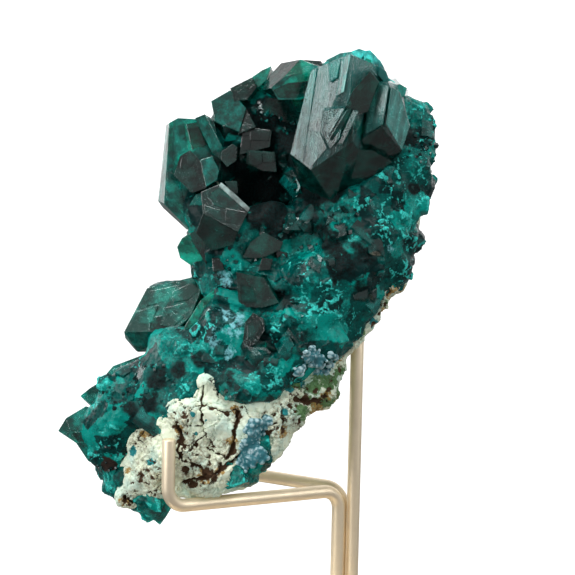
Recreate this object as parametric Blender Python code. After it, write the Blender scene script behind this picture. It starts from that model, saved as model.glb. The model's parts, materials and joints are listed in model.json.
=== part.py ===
"""Dioptase specimen on a bent wire stand.

Six solids come out of it: the pale matrix rock, the dioptase that grows on it (crystals
and crust in one solid), the stand's front arm, rear arm and upright, and its base plate.
The specimen is laid out as its display side is seen, in pixels of a 575 pixel picture
plus a depth in millimetres, and seen() turns that into the object's own frame.
The origin is the centre of the base plate's underside, with +Z up and the display
side towards -Y.
"""

import math
import random
from dataclasses import dataclass

import bmesh
import bpy
from mathutils import Matrix, Vector, noise

# Units
MM = 0.001

# Driving dimensions of the stand, in millimetres
ROD_THICKNESS = 2.0
ROD_GAP = 0.3
BASE_WIDTH = 56.0
BASE_DEPTH = 46.0
BASE_THICKNESS = 5.0
BASE_CORNER = 4.0
BASE_EDGE = 0.8
ROD_SINK = 3.5
ROD_SIDES = 14
BEND_RADIUS = 3.0
BEND_STEPS = 5

# The three rods stand side by side where they leave the base
FRONT_LEG = (8.5, 2.6)
REAR_LEG = (9.3, 5.3)
UPRIGHT = (10.8, 3.6)
ARM_HEIGHT = 32.2
REAR_ARM_HEIGHT = 31.8
FRONT_ARM_RISE = 1.4
FRONT_ARM_END = (-16.9, -15.4)
REAR_ARM_END = (-13.0, 18.2)
PRONG_TOP = 43.8
REAR_PRONG_TOP = 40.0
UPRIGHT_TOP = 58.6

# The display view that the specimen is laid out in
PIXELS_PER_ROD = 13.3
MM_PER_PIXEL = ROD_THICKNESS / PIXELS_PER_ROD
PICTURE_CENTRE = 287.5
VIEW_CENTRE_HEIGHT = 64.0
VIEW_DISTANCE = 450.0
VIEW_TILT = math.radians(10.0)
VIEW_ROLL = math.radians(1.2)

# Gap between the dioptase and the matrix that carries it, in millimetres
SEAT_GAP = 0.35

# Mesh sizes, in millimetres and counts
BLOB_VOXEL = 0.75
MATRIX_TRIANGLES = 1700
CRUST_TRIANGLES = 1800
WELD = 0.01
FLAT_ANGLE = math.radians(1.0)

# Roughness of the lumps, in millimetres
COARSE_LUMP = 5.0
ROUGHNESS = 1.1
SMOOTHING = 8

# Small crystals on the crust
SCATTER_SEED = 11
SCATTER_COUNT = 44
SCATTER_RADIUS = (0.8, 1.7)
SCATTER_FACING = -0.35
SCATTER_WANDER = 0.7
SCATTER_BURIED = 0.55

# Slope of a dioptase end face, as fall per crystal radius
END_FACE_FALL = 1.2333


@dataclass(frozen=True)
class Facet:
    """A crystal given by the flat face that it shows.

    Attributes:
        name: what the crystal is called.
        outline: corners of the face, in picture pixels.
        back: depth of the face's middle, in millimetres away from the viewer.
        slope: growth of the depth to the right and downwards, as a ratio.
        push: how far the hidden end is moved, in pixels right, pixels down and
            millimetres back.
        shrink: size of the hidden end beside the face.
        extra: more corners, in pixels and millimetres back.
    """

    name: str
    outline: tuple
    back: float
    slope: tuple
    push: tuple
    shrink: float = 1.0
    extra: tuple = ()


CRYSTALS = (
    # Left group
    Facet("left plate", ((169, 123), (178, 118), (214, 120), (222, 160), (214, 200), (188, 228), (164, 204)),
          -1.5, (0.12, 0.0), (4, 0, 8.0), 0.94,
          ((158, 201, 1.5), (166, 125, 0.5), (163, 208, 1.6), (187, 230, 0.8))),
    Facet("left plate block", ((180, 156), (190, 150), (200, 160), (207, 188), (192, 193), (174, 175)),
          -5.0, (-0.12, -0.15), (4, 4, 5.0)),
    Facet("left plate foot", ((196, 194), (214, 190), (214, 206), (190, 227), (184, 214)),
          -4.0, (-0.3, 0.2), (4, -3, 5.0)),
    Facet("small teal", ((200, 160), (212, 156), (219, 170), (217, 180), (206, 187)),
          -6.2, (-0.2, -0.4), (4, 5, 6.0)),
    Facet("teal rod", ((195, 118), (205, 114), (223, 148), (221, 160), (212, 153)),
          -3.2, (0.3, 0.0), (5, 3, 5.0)),
    Facet("six sided end", ((221, 152), (232, 144), (237, 147), (236, 161), (227, 167), (221, 160)),
          -5.0, (0.15, -0.15), (4, -2, 8.0)),
    # Top left edge
    Facet("top left", ((211, 101), (230, 90), (246, 108), (239, 132), (215, 122)),
          -1.0, (-0.2, -0.45), (8, 12, 8.0)),
    Facet("top left upper", ((230, 88), (252, 77), (257, 87), (247, 100), (234, 101)),
          0.0, (0.2, -0.4), (5, 10, 8.0)),
    Facet("top left point", ((252, 77), (262, 70), (271, 66), (267, 80), (258, 88)),
          1.5, (-0.3, -0.5), (4, 9, 6.0)),
    Facet("splinter", ((246, 108), (256, 127), (242, 128), (238, 134)),
          -1.0, (-0.2, -0.3), (3, 8, 6.0)),
    # Blocks in the hollow
    Facet("upper block", ((243, 127), (272, 130), (270, 147), (239, 155)),
          -0.5, (0.05, -0.12), (2, 6, 8.0)),
    Facet("lower block", ((247, 150), (275, 152), (277, 172), (262, 171), (246, 163)),
          -1.8, (0.1, 0.05), (2, 4, 8.0)),
    Facet("block knob", ((249, 152), (261, 153), (262, 163), (256, 167), (248, 163)),
          -2.9, (0.0, 0.0), (0, 1, 3.0)),
    Facet("block underside", ((238, 155), (258, 157), (262, 171), (241, 174)),
          0.4, (0.0, 0.7), (1, 2, 7.0)),
    # Top middle
    Facet("lens crystal", ((271, 88), (284, 77), (308, 74), (324, 68), (322, 92), (300, 100), (278, 100)),
          -2.6, (0.1, 0.1), (6, -4, 9.0), 0.9,
          ((262, 90, -0.2), (269, 76, 0.6), (281, 63, 1.2), (300, 59.5, -2.0), (321, 61, -1.6))),
    Facet("lens foot", ((268, 98), (300, 98), (312, 116), (285, 124), (262, 112)),
          0.6, (0.1, 0.5), (0, -4, 7.0)),
    # Large crystal on the right
    Facet("great crystal", ((312, 70), (349, 54), (311, 170), (290, 154)),
          -8.4, (-0.5, -0.04), (14, 3, 10.0), 1.0,
          ((384, 68, -5.0), (353, 142, -9.6), (334, 205, -4.4), (374, 172, -3.0), (301, 186, -3.6))),
    Facet("great inner", ((352, 92), (370, 71), (379, 82), (368, 112), (341, 118)),
          -10.6, (0.1, 0.1), (2, -2, 6.0)),
    Facet("great lower strip", ((323, 110), (344, 108), (340, 138), (330, 149), (320, 128)),
          -13.2, (0.25, 0.15), (3, -4, 6.0)),
    Facet("great top", ((326, 60), (340, 53), (362, 50), (372, 53), (384, 68), (350, 80)),
          -4.0, (0.1, -0.35), (2, 4, 6.0)),
    Facet("right crystal", ((388, 82), (381, 127), (362, 140), (372, 82)),
          -8.4, (-0.4, -0.05), (8, -4, 9.0), 1.0,
          ((402, 86, -3.6), (408, 124, -3.6), (402, 151, -4.2), (372, 174, -3.4), (394, 161, -3.0))),
    Facet("right hexagon", ((393, 85), (400, 84), (407, 88), (405, 96), (396, 98)),
          -5.2, (0.2, -0.2), (2, 3, 5.0)),
    Facet("right underside", ((358, 150), (372, 150), (392, 162), (370, 176), (356, 188), (342, 200)),
          -5.6, (0.2, 0.6), (4, -4, 6.0)),
    # Front middle
    Facet("diamond", ((220, 184), (249, 210), (238, 232), (203, 213), (201, 192)),
          -11.5, (-0.1, -0.28), (-1, 5, 12.0)),
    Facet("diamond step", ((203, 213), (238, 232), (233, 245), (211, 251), (196, 233)),
          -9.6, (0.0, 0.45), (3, 0, 9.0)),
    Facet("brown back", ((224, 181), (237, 181), (238, 193), (232, 194)),
          -7.0, (0.1, 0.0), (1, 3, 5.0)),
    Facet("emerald", ((177, 247), (182, 238), (190, 233), (205, 263), (193, 267), (180, 258)),
          -2.6, (-0.3, 0.3), (8, -4, 7.0)),
    Facet("emerald shoulder", ((190, 233), (204, 228), (214, 248), (206, 264), (192, 242)),
          -4.8, (-0.1, 0.1), (4, 0, 6.0)),
    Facet("teal middle", ((264, 232), (283, 242), (280, 250), (263, 258), (242, 258), (250, 242)),
          -7.0, (0.0, -0.3), (2, 5, 8.0)),
    Facet("brown middle", ((262, 258), (273, 259), (270, 270), (258, 271)),
          -7.6, (0.1, 0.1), (1, 2, 6.0)),
    Facet("small wedge", ((276, 250), (288, 253), (285, 265), (277, 266)),
          -5.0, (0.2, 0.1), (2, 2, 5.0)),
    Facet("middle front", ((236, 272), (250, 279), (264, 278), (279, 303), (262, 308), (239, 307)),
          -8.4, (-0.15, 0.1), (4, -2, 8.0), 1.0, ((283, 291, -3.5), (277, 264, -3.0))),
    Facet("grey chip", ((212, 258), (222, 257), (224, 270), (213, 272)),
          -6.6, (-0.1, 0.0), (2, 2, 5.0)),
    # Left crystal and what lies below it
    Facet("left crystal", ((147, 288), (196, 276), (201, 291), (191, 316), (174, 332), (124, 332)),
          -1.0, (-0.12, -0.35), (12, 19, 9.0), 1.0, ((138, 352, 2.6), (125, 338, 1.0), (158, 346, 2.0))),
    Facet("turquoise", ((201, 300), (215, 289), (231, 291), (218, 303), (207, 318), (204, 345), (190, 350),
                        (179, 341), (186, 324)),
          -5.0, (0.02, 0.05), (6, 2, 7.0)),
    Facet("turquoise shade", ((214, 300), (232, 293), (241, 300), (238, 320), (216, 323), (208, 316)),
          -4.6, (0.1, 0.2), (1, 0, 6.0)),
    Facet("grey middle", ((245, 322), (253, 313), (264, 319), (265, 330), (256, 344), (242, 349)),
          -10.4, (-0.25, -0.1), (6, 4, 8.0)),
    Facet("grey middle foot", ((242, 349), (264, 341), (277, 349), (275, 359), (246, 357)),
          -9.8, (0.0, 0.6), (2, 0, 8.0)),
    Facet("striped", ((116, 375), (143, 366), (146, 383), (119, 386)),
          -4.6, (-0.15, -0.3), (2, 6, 6.0)),
    Facet("tip", ((58, 431), (66, 418), (86, 406), (103, 420), (99, 443), (76, 443)),
          -3.0, (-0.35, -0.1), (14, 3, 8.0), 0.9),
    Facet("tip foot", ((76, 443), (100, 443), (105, 458), (99, 467), (88, 461)),
          -3.0, (-0.3, 0.4), (10, -3, 7.0)),
    Facet("edge upper", ((80, 396), (90, 388), (103, 380), (112, 394), (94, 408)),
          -2.6, (-0.3, -0.3), (6, 6, 6.0)),
    Facet("edge ridge", ((101, 380), (113, 366), (137, 359), (150, 352), (152, 366), (119, 378)),
          -1.2, (-0.1, -0.5), (5, 8, 7.0)),
    Facet("lowest tip", ((143, 510), (150, 517), (160, 525), (166, 517), (172, 507), (158, 502)),
          -6.0, (0.0, 0.1), (1, -4, 5.0)),
)

# Lumps of massive dioptase: picture pixels, millimetres back, radius in millimetres
CRUST_LUMPS = (
    # Upper rim and the wall of the hollow
    ((345, 90), 2.5, 5.3), ((391, 114), 1.5, 4.2), ((410, 122), 2.5, 3.2), ((417, 114), 2.2, 2.3),
    ((419, 128), 2.0, 2.6), ((418, 150), 1.5, 2.7), ((415, 180), 0.5, 3.1), ((411, 201), 0.5, 2.8),
    ((367, 86), 1.6, 3.4), ((362, 72), 1.4, 3.0),
    ((405, 165), 0.0, 4.2), ((385, 190), -1.0, 4.8), ((352, 215), -1.8, 5.2), ((400, 205), 0.0, 4.0),
    ((322, 215), -1.0, 3.8), ((305, 228), -0.4, 3.8), ((240, 118), 4.6, 3.8), ((270, 115), 4.6, 4.0),
    ((222, 140), 3.4, 4.2), ((200, 180), 2.6, 4.4), ((208, 215), 0.0, 4.2), ((238, 160), 4.6, 4.4),
    ((268, 190), 9.0, 6.0), ((300, 150), 5.4, 6.0), ((330, 180), 2.0, 6.0),
    # Right hand rubble down to the rounded mass
    ((372, 235), -2.0, 5.6), ((399, 240), 0.2, 3.1), ((386, 267), -0.4, 4.0), ((350, 262), -3.2, 5.6),
    ((306, 280), -4.6, 4.2), ((325, 300), -3.6, 4.6), ((358, 295), -1.6, 4.2), ((342, 322), -1.6, 3.5),
    ((265, 232), -0.6, 5.0), ((235, 250), -2.4, 5.0), ((205, 274), -1.6, 2.2), ((214, 286), -2.6, 2.6),
    ((262, 290), -3.0, 5.0), ((290, 325), -5.0, 5.0), ((322, 345), -3.6, 4.0), ((290, 360), -6.0, 4.2),
    # Left hand slope down to the tip
    ((228, 330), -5.0, 5.2), ((258, 365), -6.4, 4.4), ((205, 360), -5.2, 5.0), ((172, 306), 3.4, 4.0),
    ((180, 358), -3.4, 5.0), ((160, 378), -3.8, 4.6), ((150, 405), -4.6, 4.6), ((125, 398), -2.4, 4.2),
    ((170, 400), -6.6, 3.4), ((187, 391), -9.0, 2.3), ((176, 414), -8.6, 1.9), ((231, 385), -9.6, 2.5),
    ((250, 390), -9.8, 2.5), ((270, 386), -9.0, 2.6), ((120, 425), -2.6, 4.4), ((98, 425), -1.0, 3.2),
    ((111, 454), -1.4, 3.1), ((119, 477), -1.6, 2.7), ((113, 487), -1.6, 1.8), ((130, 491), -2.6, 2.2),
    ((140, 498), -3.2, 2.5), ((150, 503), -4.4, 2.4),
    # Blue green crust at the lower edge of the matrix
    ((254, 452), -8.2, 2.9), ((243, 472), -6.6, 2.4), ((258, 440), -8.0, 2.3),
)

# Lumps of the matrix rock, in the same units
MATRIX_LUMPS = (
    # Behind the upper cluster
    ((330, 120), 12.0, 8.0), ((380, 150), 11.0, 7.4), ((280, 130), 13.0, 7.0), ((240, 170), 12.0, 6.4),
    ((300, 200), 15.0, 8.0), ((370, 210), 9.6, 8.0), ((396, 226), 6.4, 3.8), ((411, 226), 2.8, 1.4),
    # Middle
    ((330, 270), 9.0, 8.4), ((260, 260), 10.0, 8.0), ((380, 280), 4.4, 3.8), ((392, 283), -1.4, 1.9),
    ((383, 299), -1.4, 1.7), ((373, 313), -0.6, 1.6), ((366, 322), -0.6, 1.4),
    ((232, 300), 9.0, 5.6), ((290, 330), 6.0, 8.4), ((345, 328), 2.4, 3.3), ((350, 340), -1.2, 1.9),
    ((240, 350), 5.0, 8.0), ((190, 370), 5.0, 6.6),
    # Pale front face at the bottom
    ((210, 420), -4.0, 7.6), ((245, 425), -4.6, 6.8), ((280, 404), -4.2, 5.3), ((309, 387), -2.6, 4.1),
    ((322, 386), 1.0, 3.0), ((333, 366), -0.4, 2.6), ((204, 386), -8.0, 2.4), ((205, 379), -9.4, 1.4),
    ((188, 412), -7.4, 4.2), ((178, 450), -5.0, 6.0), ((222, 455), -4.4, 6.4), ((200, 478), -4.0, 4.2),
    ((257, 434), -3.6, 3.4), ((140, 437), -5.4, 2.4), ((140, 474), -3.8, 3.6), ((160, 488), -4.0, 2.8),
    ((129, 498), -4.6, 2.0),
    # Lower back, where the rear arm carries it
    ((160, 430), 3.0, 6.4), ((210, 430), 7.0, 7.6), ((246, 412), 6.0, 6.0), ((220, 468), 2.6, 4.4),
    ((180, 455), 7.0, 6.4), ((215, 455), 10.0, 5.6), ((196, 462), 11.0, 4.6), ((245, 440), 8.0, 4.6),
    ((168, 436), 10.0, 5.0), ((290, 250), 12.0, 7.4), ((340, 170), 12.0, 8.4), ((270, 180), 13.0, 7.6),
)


def seen(across, down, back):
    """Return the point that shows at a picture pixel, at a depth in millimetres.

    Args:
        across: pixels from the picture's left edge.
        down: pixels from its top edge.
        back: millimetres behind the plane through the view's centre.
    """
    scale = MM_PER_PIXEL * (1.0 + back / VIEW_DISTANCE)
    right = (across - PICTURE_CENTRE) * scale
    up = (PICTURE_CENTRE - down) * scale
    level = right * math.cos(VIEW_ROLL) - up * math.sin(VIEW_ROLL)
    rise = up * math.cos(VIEW_ROLL) + right * math.sin(VIEW_ROLL)
    return Vector((
        level,
        back * math.cos(VIEW_TILT) + rise * math.sin(VIEW_TILT),
        VIEW_CENTRE_HEIGHT + rise * math.cos(VIEW_TILT) - back * math.sin(VIEW_TILT),
    )) * MM


# Small mesh helpers

def clear_scene():
    """Remove every object that is already there."""
    for old in list(bpy.data.objects):
        bpy.data.objects.remove(old, do_unlink=True)


def add_object(name, build):
    """Make a mesh object from a bmesh.

    Args:
        name: name of the object and of its mesh.
        build: the bmesh, which is freed here.
    """
    mesh = bpy.data.meshes.new(name)
    build.to_mesh(mesh)
    build.free()
    obj = bpy.data.objects.new(name, mesh)
    bpy.context.collection.objects.link(obj)
    return obj


def hull_object(name, points):
    """Make the convex solid around some points, with its flat faces whole."""
    build = bmesh.new()
    for point in points:
        build.verts.new(point)
    result = bmesh.ops.convex_hull(build, input=build.verts, use_existing_faces=False)
    inner = [item for item in result["geom_interior"] if isinstance(item, bmesh.types.BMVert)]
    bmesh.ops.delete(build, geom=inner, context="VERTS")
    bmesh.ops.dissolve_limit(build, angle_limit=FLAT_ANGLE, verts=build.verts, edges=build.edges)
    bmesh.ops.recalc_face_normals(build, faces=build.faces)
    return add_object(name, build)


def apply_modifiers(obj):
    """Replace an object's mesh with what its modifiers make of it."""
    graph = bpy.context.evaluated_depsgraph_get()
    graph.update()
    made = bpy.data.meshes.new_from_object(obj.evaluated_get(graph))
    obj.modifiers.clear()
    obj.data = made
    made.name = obj.name


def add_boolean(obj, other, operation, folded=False):
    """Join another object to this one, or cut it away, and apply the result.

    Args:
        obj: the object that is changed.
        other: the object that is joined or cut away.
        operation: UNION or DIFFERENCE.
        folded: whether the other object's skin may cross itself.
    """
    step = obj.modifiers.new(operation.lower(), "BOOLEAN")
    step.object = other
    step.operation = operation
    step.solver = "EXACT"
    step.use_self = folded
    other.display_type = "WIRE"
    other.hide_render = True
    apply_modifiers(obj)


def remove_object(obj):
    """Delete a helper object that is no longer needed."""
    bpy.data.objects.remove(obj, do_unlink=True)


def keep_largest_body(obj):
    """Tidy a mesh and delete all of it but its largest connected body."""
    build = bmesh.new()
    build.from_mesh(obj.data)
    bmesh.ops.remove_doubles(build, verts=build.verts, dist=WELD * MM)
    bmesh.ops.dissolve_degenerate(build, dist=WELD * MM, edges=build.edges)
    bmesh.ops.triangulate(build, faces=build.faces)
    waiting = set(build.faces)
    bodies = []
    while waiting:
        stack = [waiting.pop()]
        body = set(stack)
        while stack:
            face = stack.pop()
            for edge in face.edges:
                for other in edge.link_faces:
                    if other in waiting:
                        waiting.remove(other)
                        body.add(other)
                        stack.append(other)
        bodies.append(body)
    bodies.sort(key=len, reverse=True)
    loose = [face for body in bodies[1:] for face in body]
    bmesh.ops.delete(build, geom=loose, context="FACES")
    bmesh.ops.recalc_face_normals(build, faces=build.faces)
    build.to_mesh(obj.data)
    build.free()


def give_material(obj, name, colour, roughness, metallic=0.0):
    """Give an object its own plain material."""
    material = bpy.data.materials.new(name)
    material.use_nodes = True
    shader = material.node_tree.nodes["Principled BSDF"]
    shader.inputs["Base Color"].default_value = (*colour, 1.0)
    shader.inputs["Roughness"].default_value = roughness
    shader.inputs["Metallic"].default_value = metallic
    obj.data.materials.clear()
    obj.data.materials.append(material)


# The lumpy solids

def lump_object(name, lumps, growth, triangles):
    """Make one rough solid from round lumps.

    Args:
        name: name of the object.
        lumps: picture position, depth and radius of each.
        growth: millimetres added to each radius.
        triangles: number of triangles to keep, or None for all.
    """
    build = bmesh.new()
    for (across, down), back, radius in lumps:
        place = Matrix.Translation(seen(across, down, back))
        bmesh.ops.create_icosphere(build, subdivisions=3, radius=(radius + growth) * MM, matrix=place)
    obj = add_object(name, build)
    remesh = obj.modifiers.new("skin", "REMESH")
    remesh.mode = "VOXEL"
    remesh.voxel_size = BLOB_VOXEL * MM
    smooth = obj.modifiers.new("soften", "SMOOTH")
    smooth.factor = 0.5
    smooth.iterations = SMOOTHING
    apply_modifiers(obj)
    for vertex in obj.data.vertices:
        ripple = noise.fractal(vertex.co / (COARSE_LUMP * MM), 0.8, 2.0, 3)
        vertex.co += vertex.normal * ripple * ROUGHNESS * MM
    remesh = obj.modifiers.new("skin", "REMESH")
    remesh.mode = "VOXEL"
    remesh.voxel_size = BLOB_VOXEL * MM
    apply_modifiers(obj)
    if triangles:
        thin = obj.modifiers.new("thin", "DECIMATE")
        thin.ratio = min(1.0, triangles / (2.0 * len(obj.data.polygons)))
        apply_modifiers(obj)
    return obj


def grown_copy(obj, distance):
    """Return a closed copy of a solid, grown outwards by a distance in millimetres."""
    build = bmesh.new()
    build.from_mesh(obj.data)
    bmesh.ops.recalc_face_normals(build, faces=build.faces)
    build.normal_update()
    for vertex in build.verts:
        vertex.co += vertex.normal * distance * vertex.calc_shell_factor() * MM
    return add_object(obj.name + " grown", build)


# The crystals

def facet_object(facet):
    """Make one crystal from the face that it shows."""
    count = len(facet.outline)
    middle_across = sum(point[0] for point in facet.outline) / count
    middle_down = sum(point[1] for point in facet.outline) / count
    points = []
    for across, down in facet.outline:
        right = across - middle_across
        below = down - middle_down
        depth = facet.back + (right * facet.slope[0] + below * facet.slope[1]) * MM_PER_PIXEL
        points.append(seen(across, down, depth))
        far_across = middle_across + right * facet.shrink + facet.push[0]
        far_down = middle_down + below * facet.shrink + facet.push[1]
        points.append(seen(far_across, far_down, depth + facet.push[2]))
    for across, down, depth in facet.extra:
        points.append(seen(across, down, depth))
    return hull_object(facet.name, points)


def small_crystal(name, root, direction, twist, radius, length):
    """Make a six sided crystal with three end faces.

    Args:
        name: name of the object.
        root: point in the middle of its buried end.
        direction: which way it points.
        twist: turn about its length, in radians.
        radius: distance from its axis to an edge, in millimetres.
        length: root to tip, in millimetres.
    """
    turn = direction.to_track_quat("Z", "X").to_matrix().to_4x4() @ Matrix.Rotation(twist, 4, "Z")
    points = [Vector((0.0, 0.0, length))]
    for corner in range(6):
        angle = corner * math.pi / 3.0
        reach = Vector((math.cos(angle), math.sin(angle), 0.0)) * radius
        fall = END_FACE_FALL if corner % 2 == 0 else END_FACE_FALL / 2.0
        points.append(reach + Vector((0.0, 0.0, length - fall * radius)))
        points.append(reach * 0.9)
    return hull_object(name, [root + turn @ (point * MM) for point in points])


def scattered_crystals(crust):
    """Make the small crystals that stand on the crust's display side."""
    draw = random.Random(SCATTER_SEED)
    faces = [face for face in crust.data.polygons if face.normal.y < SCATTER_FACING]
    made = []
    for index in range(SCATTER_COUNT):
        face = draw.choice(faces)
        radius = draw.uniform(*SCATTER_RADIUS)
        wander = Vector((draw.uniform(-1.0, 1.0), draw.uniform(-1.0, 1.0), draw.uniform(-1.0, 1.0)))
        direction = (face.normal + wander * SCATTER_WANDER).normalized()
        length = radius * draw.uniform(1.6, 2.4)
        root = face.center - direction * length * SCATTER_BURIED * MM
        twist = draw.uniform(0.0, math.pi)
        made.append(small_crystal("small crystal " + str(index), root, direction, twist, radius, length))
    return made


# The stand

def rod_points(corners):
    """Return a rod's centre line, with its corners rounded.

    Args:
        corners: the straight run's corner points, in millimetres.
    """
    path = [Vector(corners[0])]
    for before, corner, after in zip(corners, corners[1:], corners[2:]):
        corner = Vector(corner)
        arrive = (corner - Vector(before)).normalized()
        leave = (Vector(after) - corner).normalized()
        half = arrive.angle(leave) / 2.0
        setback = BEND_RADIUS * math.tan(half)
        middle = corner + (leave - arrive).normalized() * BEND_RADIUS / math.cos(half)
        start = corner - arrive * setback - middle
        across = arrive.cross(leave).normalized()
        for step in range(BEND_STEPS + 1):
            turn = Matrix.Rotation(2.0 * half * step / BEND_STEPS, 3, across)
            path.append(middle + turn @ start)
    path.append(Vector(corners[-1]))
    return path


def rod_object(name, corners, radius):
    """Make a round rod along a bent centre line."""
    path = rod_points(corners)
    build = bmesh.new()
    rings = []
    side = Vector((0.0, 1.0, 0.0))
    for index, point in enumerate(path):
        before = path[max(index - 1, 0)]
        after = path[min(index + 1, len(path) - 1)]
        along = (after - before).normalized()
        side = (side - along * side.dot(along)).normalized()
        other = along.cross(side)
        ring = []
        for step in range(ROD_SIDES):
            angle = 2.0 * math.pi * step / ROD_SIDES
            offset = (side * math.cos(angle) + other * math.sin(angle)) * radius
            ring.append(build.verts.new((point + offset) * MM))
        rings.append(ring)
    for near, far in zip(rings, rings[1:]):
        for step in range(ROD_SIDES):
            following = (step + 1) % ROD_SIDES
            build.faces.new((near[step], near[following], far[following], far[step]))
    build.faces.new(list(reversed(rings[0])))
    build.faces.new(rings[-1])
    bmesh.ops.recalc_face_normals(build, faces=build.faces)
    return add_object(name, build)


def front_arm_corners():
    """Return the corners of the arm that passes in front of the specimen."""
    end = (*FRONT_ARM_END, ARM_HEIGHT + FRONT_ARM_RISE)
    return (
        (*FRONT_LEG, BASE_THICKNESS - ROD_SINK),
        (*FRONT_LEG, ARM_HEIGHT),
        end,
        (FRONT_ARM_END[0], FRONT_ARM_END[1], PRONG_TOP),
    )


def rear_arm_corners():
    """Return the corners of the arm that passes behind the specimen."""
    end = (*REAR_ARM_END, REAR_ARM_HEIGHT)
    return (
        (*REAR_LEG, BASE_THICKNESS - ROD_SINK),
        (*REAR_LEG, REAR_ARM_HEIGHT),
        end,
        (REAR_ARM_END[0], REAR_ARM_END[1], REAR_PRONG_TOP),
    )


def upright_corners():
    """Return the two ends of the upright that props the specimen."""
    return ((*UPRIGHT, BASE_THICKNESS - ROD_SINK), (*UPRIGHT, UPRIGHT_TOP))


def base_object(legs):
    """Make the flat base plate with the holes that the rods stand in."""
    build = bmesh.new()
    outline = []
    for corner in range(4):
        sign_x = (1, -1, -1, 1)[corner]
        sign_y = (1, 1, -1, -1)[corner]
        centre_x = sign_x * (BASE_WIDTH / 2.0 - BASE_CORNER)
        centre_y = sign_y * (BASE_DEPTH / 2.0 - BASE_CORNER)
        for step in range(BEND_STEPS + 1):
            angle = math.pi / 2.0 * (corner + step / BEND_STEPS)
            outline.append((centre_x, centre_y, math.cos(angle), math.sin(angle)))
    shoulder = BASE_THICKNESS - BASE_EDGE
    levels = ((0.0, BASE_CORNER), (shoulder, BASE_CORNER), (BASE_THICKNESS, BASE_CORNER - BASE_EDGE))
    rings = []
    for height, reach in levels:
        ring = []
        for x, y, dx, dy in outline:
            ring.append(build.verts.new(Vector((x + dx * reach, y + dy * reach, height)) * MM))
        rings.append(ring)
    for lower, upper in zip(rings, rings[1:]):
        for index in range(len(outline)):
            following = (index + 1) % len(outline)
            build.faces.new((lower[index], lower[following], upper[following], upper[index]))
    build.faces.new(list(reversed(rings[0])))
    build.faces.new(rings[-1])
    bmesh.ops.recalc_face_normals(build, faces=build.faces)
    base = add_object("stand_base", build)
    floor = BASE_THICKNESS - ROD_SINK - ROD_GAP
    for leg in legs:
        corners = ((*leg, floor), (*leg, BASE_THICKNESS + 1.0))
        hole = rod_object("leg hole", corners, ROD_THICKNESS / 2.0 + ROD_GAP)
        add_boolean(base, hole, "DIFFERENCE")
        remove_object(hole)
    return base


# The whole object

def main():
    """Build the specimen and its stand."""
    clear_scene()
    rod_routes = (
        ("stand_front_arm", front_arm_corners()),
        ("stand_rear_arm", rear_arm_corners()),
        ("stand_upright", upright_corners()),
    )
    rods = [rod_object(name, route, ROD_THICKNESS / 2.0) for name, route in rod_routes]
    base = base_object((FRONT_LEG, REAR_LEG, UPRIGHT))

    matrix = lump_object("matrix", MATRIX_LUMPS, 0.0, MATRIX_TRIANGLES)
    seat = grown_copy(matrix, SEAT_GAP)
    dioptase = lump_object("dioptase_crystals", CRUST_LUMPS, 0.0, CRUST_TRIANGLES)
    small = scattered_crystals(dioptase)
    for crystal in small + [facet_object(facet) for facet in CRYSTALS]:
        add_boolean(dioptase, crystal, "UNION")
        remove_object(crystal)
    add_boolean(dioptase, seat, "DIFFERENCE", folded=True)
    remove_object(seat)
    for name, route in rod_routes:
        space = rod_object(name + " space", route, ROD_THICKNESS / 2.0 + ROD_GAP)
        for stone in (matrix, dioptase):
            add_boolean(stone, space, "DIFFERENCE")
        remove_object(space)
    for stone in (matrix, dioptase):
        keep_largest_body(stone)

    give_material(matrix, "pale matrix", (0.72, 0.80, 0.74), 0.85)
    give_material(dioptase, "dioptase", (0.01, 0.22, 0.17), 0.15)
    for rod in rods:
        give_material(rod, rod.name + " metal", (0.78, 0.70, 0.60), 0.35, 1.0)
    give_material(base, "base metal", (0.72, 0.66, 0.58), 0.4, 1.0)


main()
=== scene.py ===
"""A dioptase specimen on a bent wire stand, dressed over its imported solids.

The specimen's crystals, crust and pale matrix rock, and the stand's satin rods, are
modelled here in detail and stand for the plain solids. Places on the specimen are given
as its display side is seen: pixels of a 575 pixel picture and a depth in millimetres,
which DisplayView turns into the object's own frame.
"""

from __future__ import annotations

import json
import logging
import math
import random
from dataclasses import dataclass, field
from enum import Enum

import bmesh
import bpy
import numpy as np
from bpy.types import Material, Node, NodeSocket, NodeTree, Object
from mathutils import Matrix, Vector, noise
from mathutils.bvhtree import BVHTree
from mathutils.kdtree import KDTree

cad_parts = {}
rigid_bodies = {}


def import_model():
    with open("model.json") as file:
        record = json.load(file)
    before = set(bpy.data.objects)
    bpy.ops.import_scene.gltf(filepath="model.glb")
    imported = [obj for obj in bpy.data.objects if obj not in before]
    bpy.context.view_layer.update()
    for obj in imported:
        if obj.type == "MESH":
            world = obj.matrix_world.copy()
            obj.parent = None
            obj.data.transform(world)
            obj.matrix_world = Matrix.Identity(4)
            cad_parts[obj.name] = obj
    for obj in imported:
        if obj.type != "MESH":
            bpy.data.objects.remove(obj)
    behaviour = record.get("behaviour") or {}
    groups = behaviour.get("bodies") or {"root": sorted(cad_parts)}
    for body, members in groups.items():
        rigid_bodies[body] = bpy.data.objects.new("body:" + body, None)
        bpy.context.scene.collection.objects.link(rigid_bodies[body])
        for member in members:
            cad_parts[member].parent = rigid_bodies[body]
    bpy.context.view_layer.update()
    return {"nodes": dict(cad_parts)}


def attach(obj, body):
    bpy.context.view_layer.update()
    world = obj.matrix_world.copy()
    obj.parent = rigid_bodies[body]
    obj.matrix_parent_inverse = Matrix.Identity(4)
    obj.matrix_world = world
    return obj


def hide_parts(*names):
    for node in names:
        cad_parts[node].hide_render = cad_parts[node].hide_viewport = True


LOG = logging.getLogger("dioptase")

# Metres per millimetre
MM = 0.001
BODY = "root"

# Drop of a crystal's end face from its tip to the prism's edge, in radii
END_FACE_FALL = 1.2333

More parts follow.
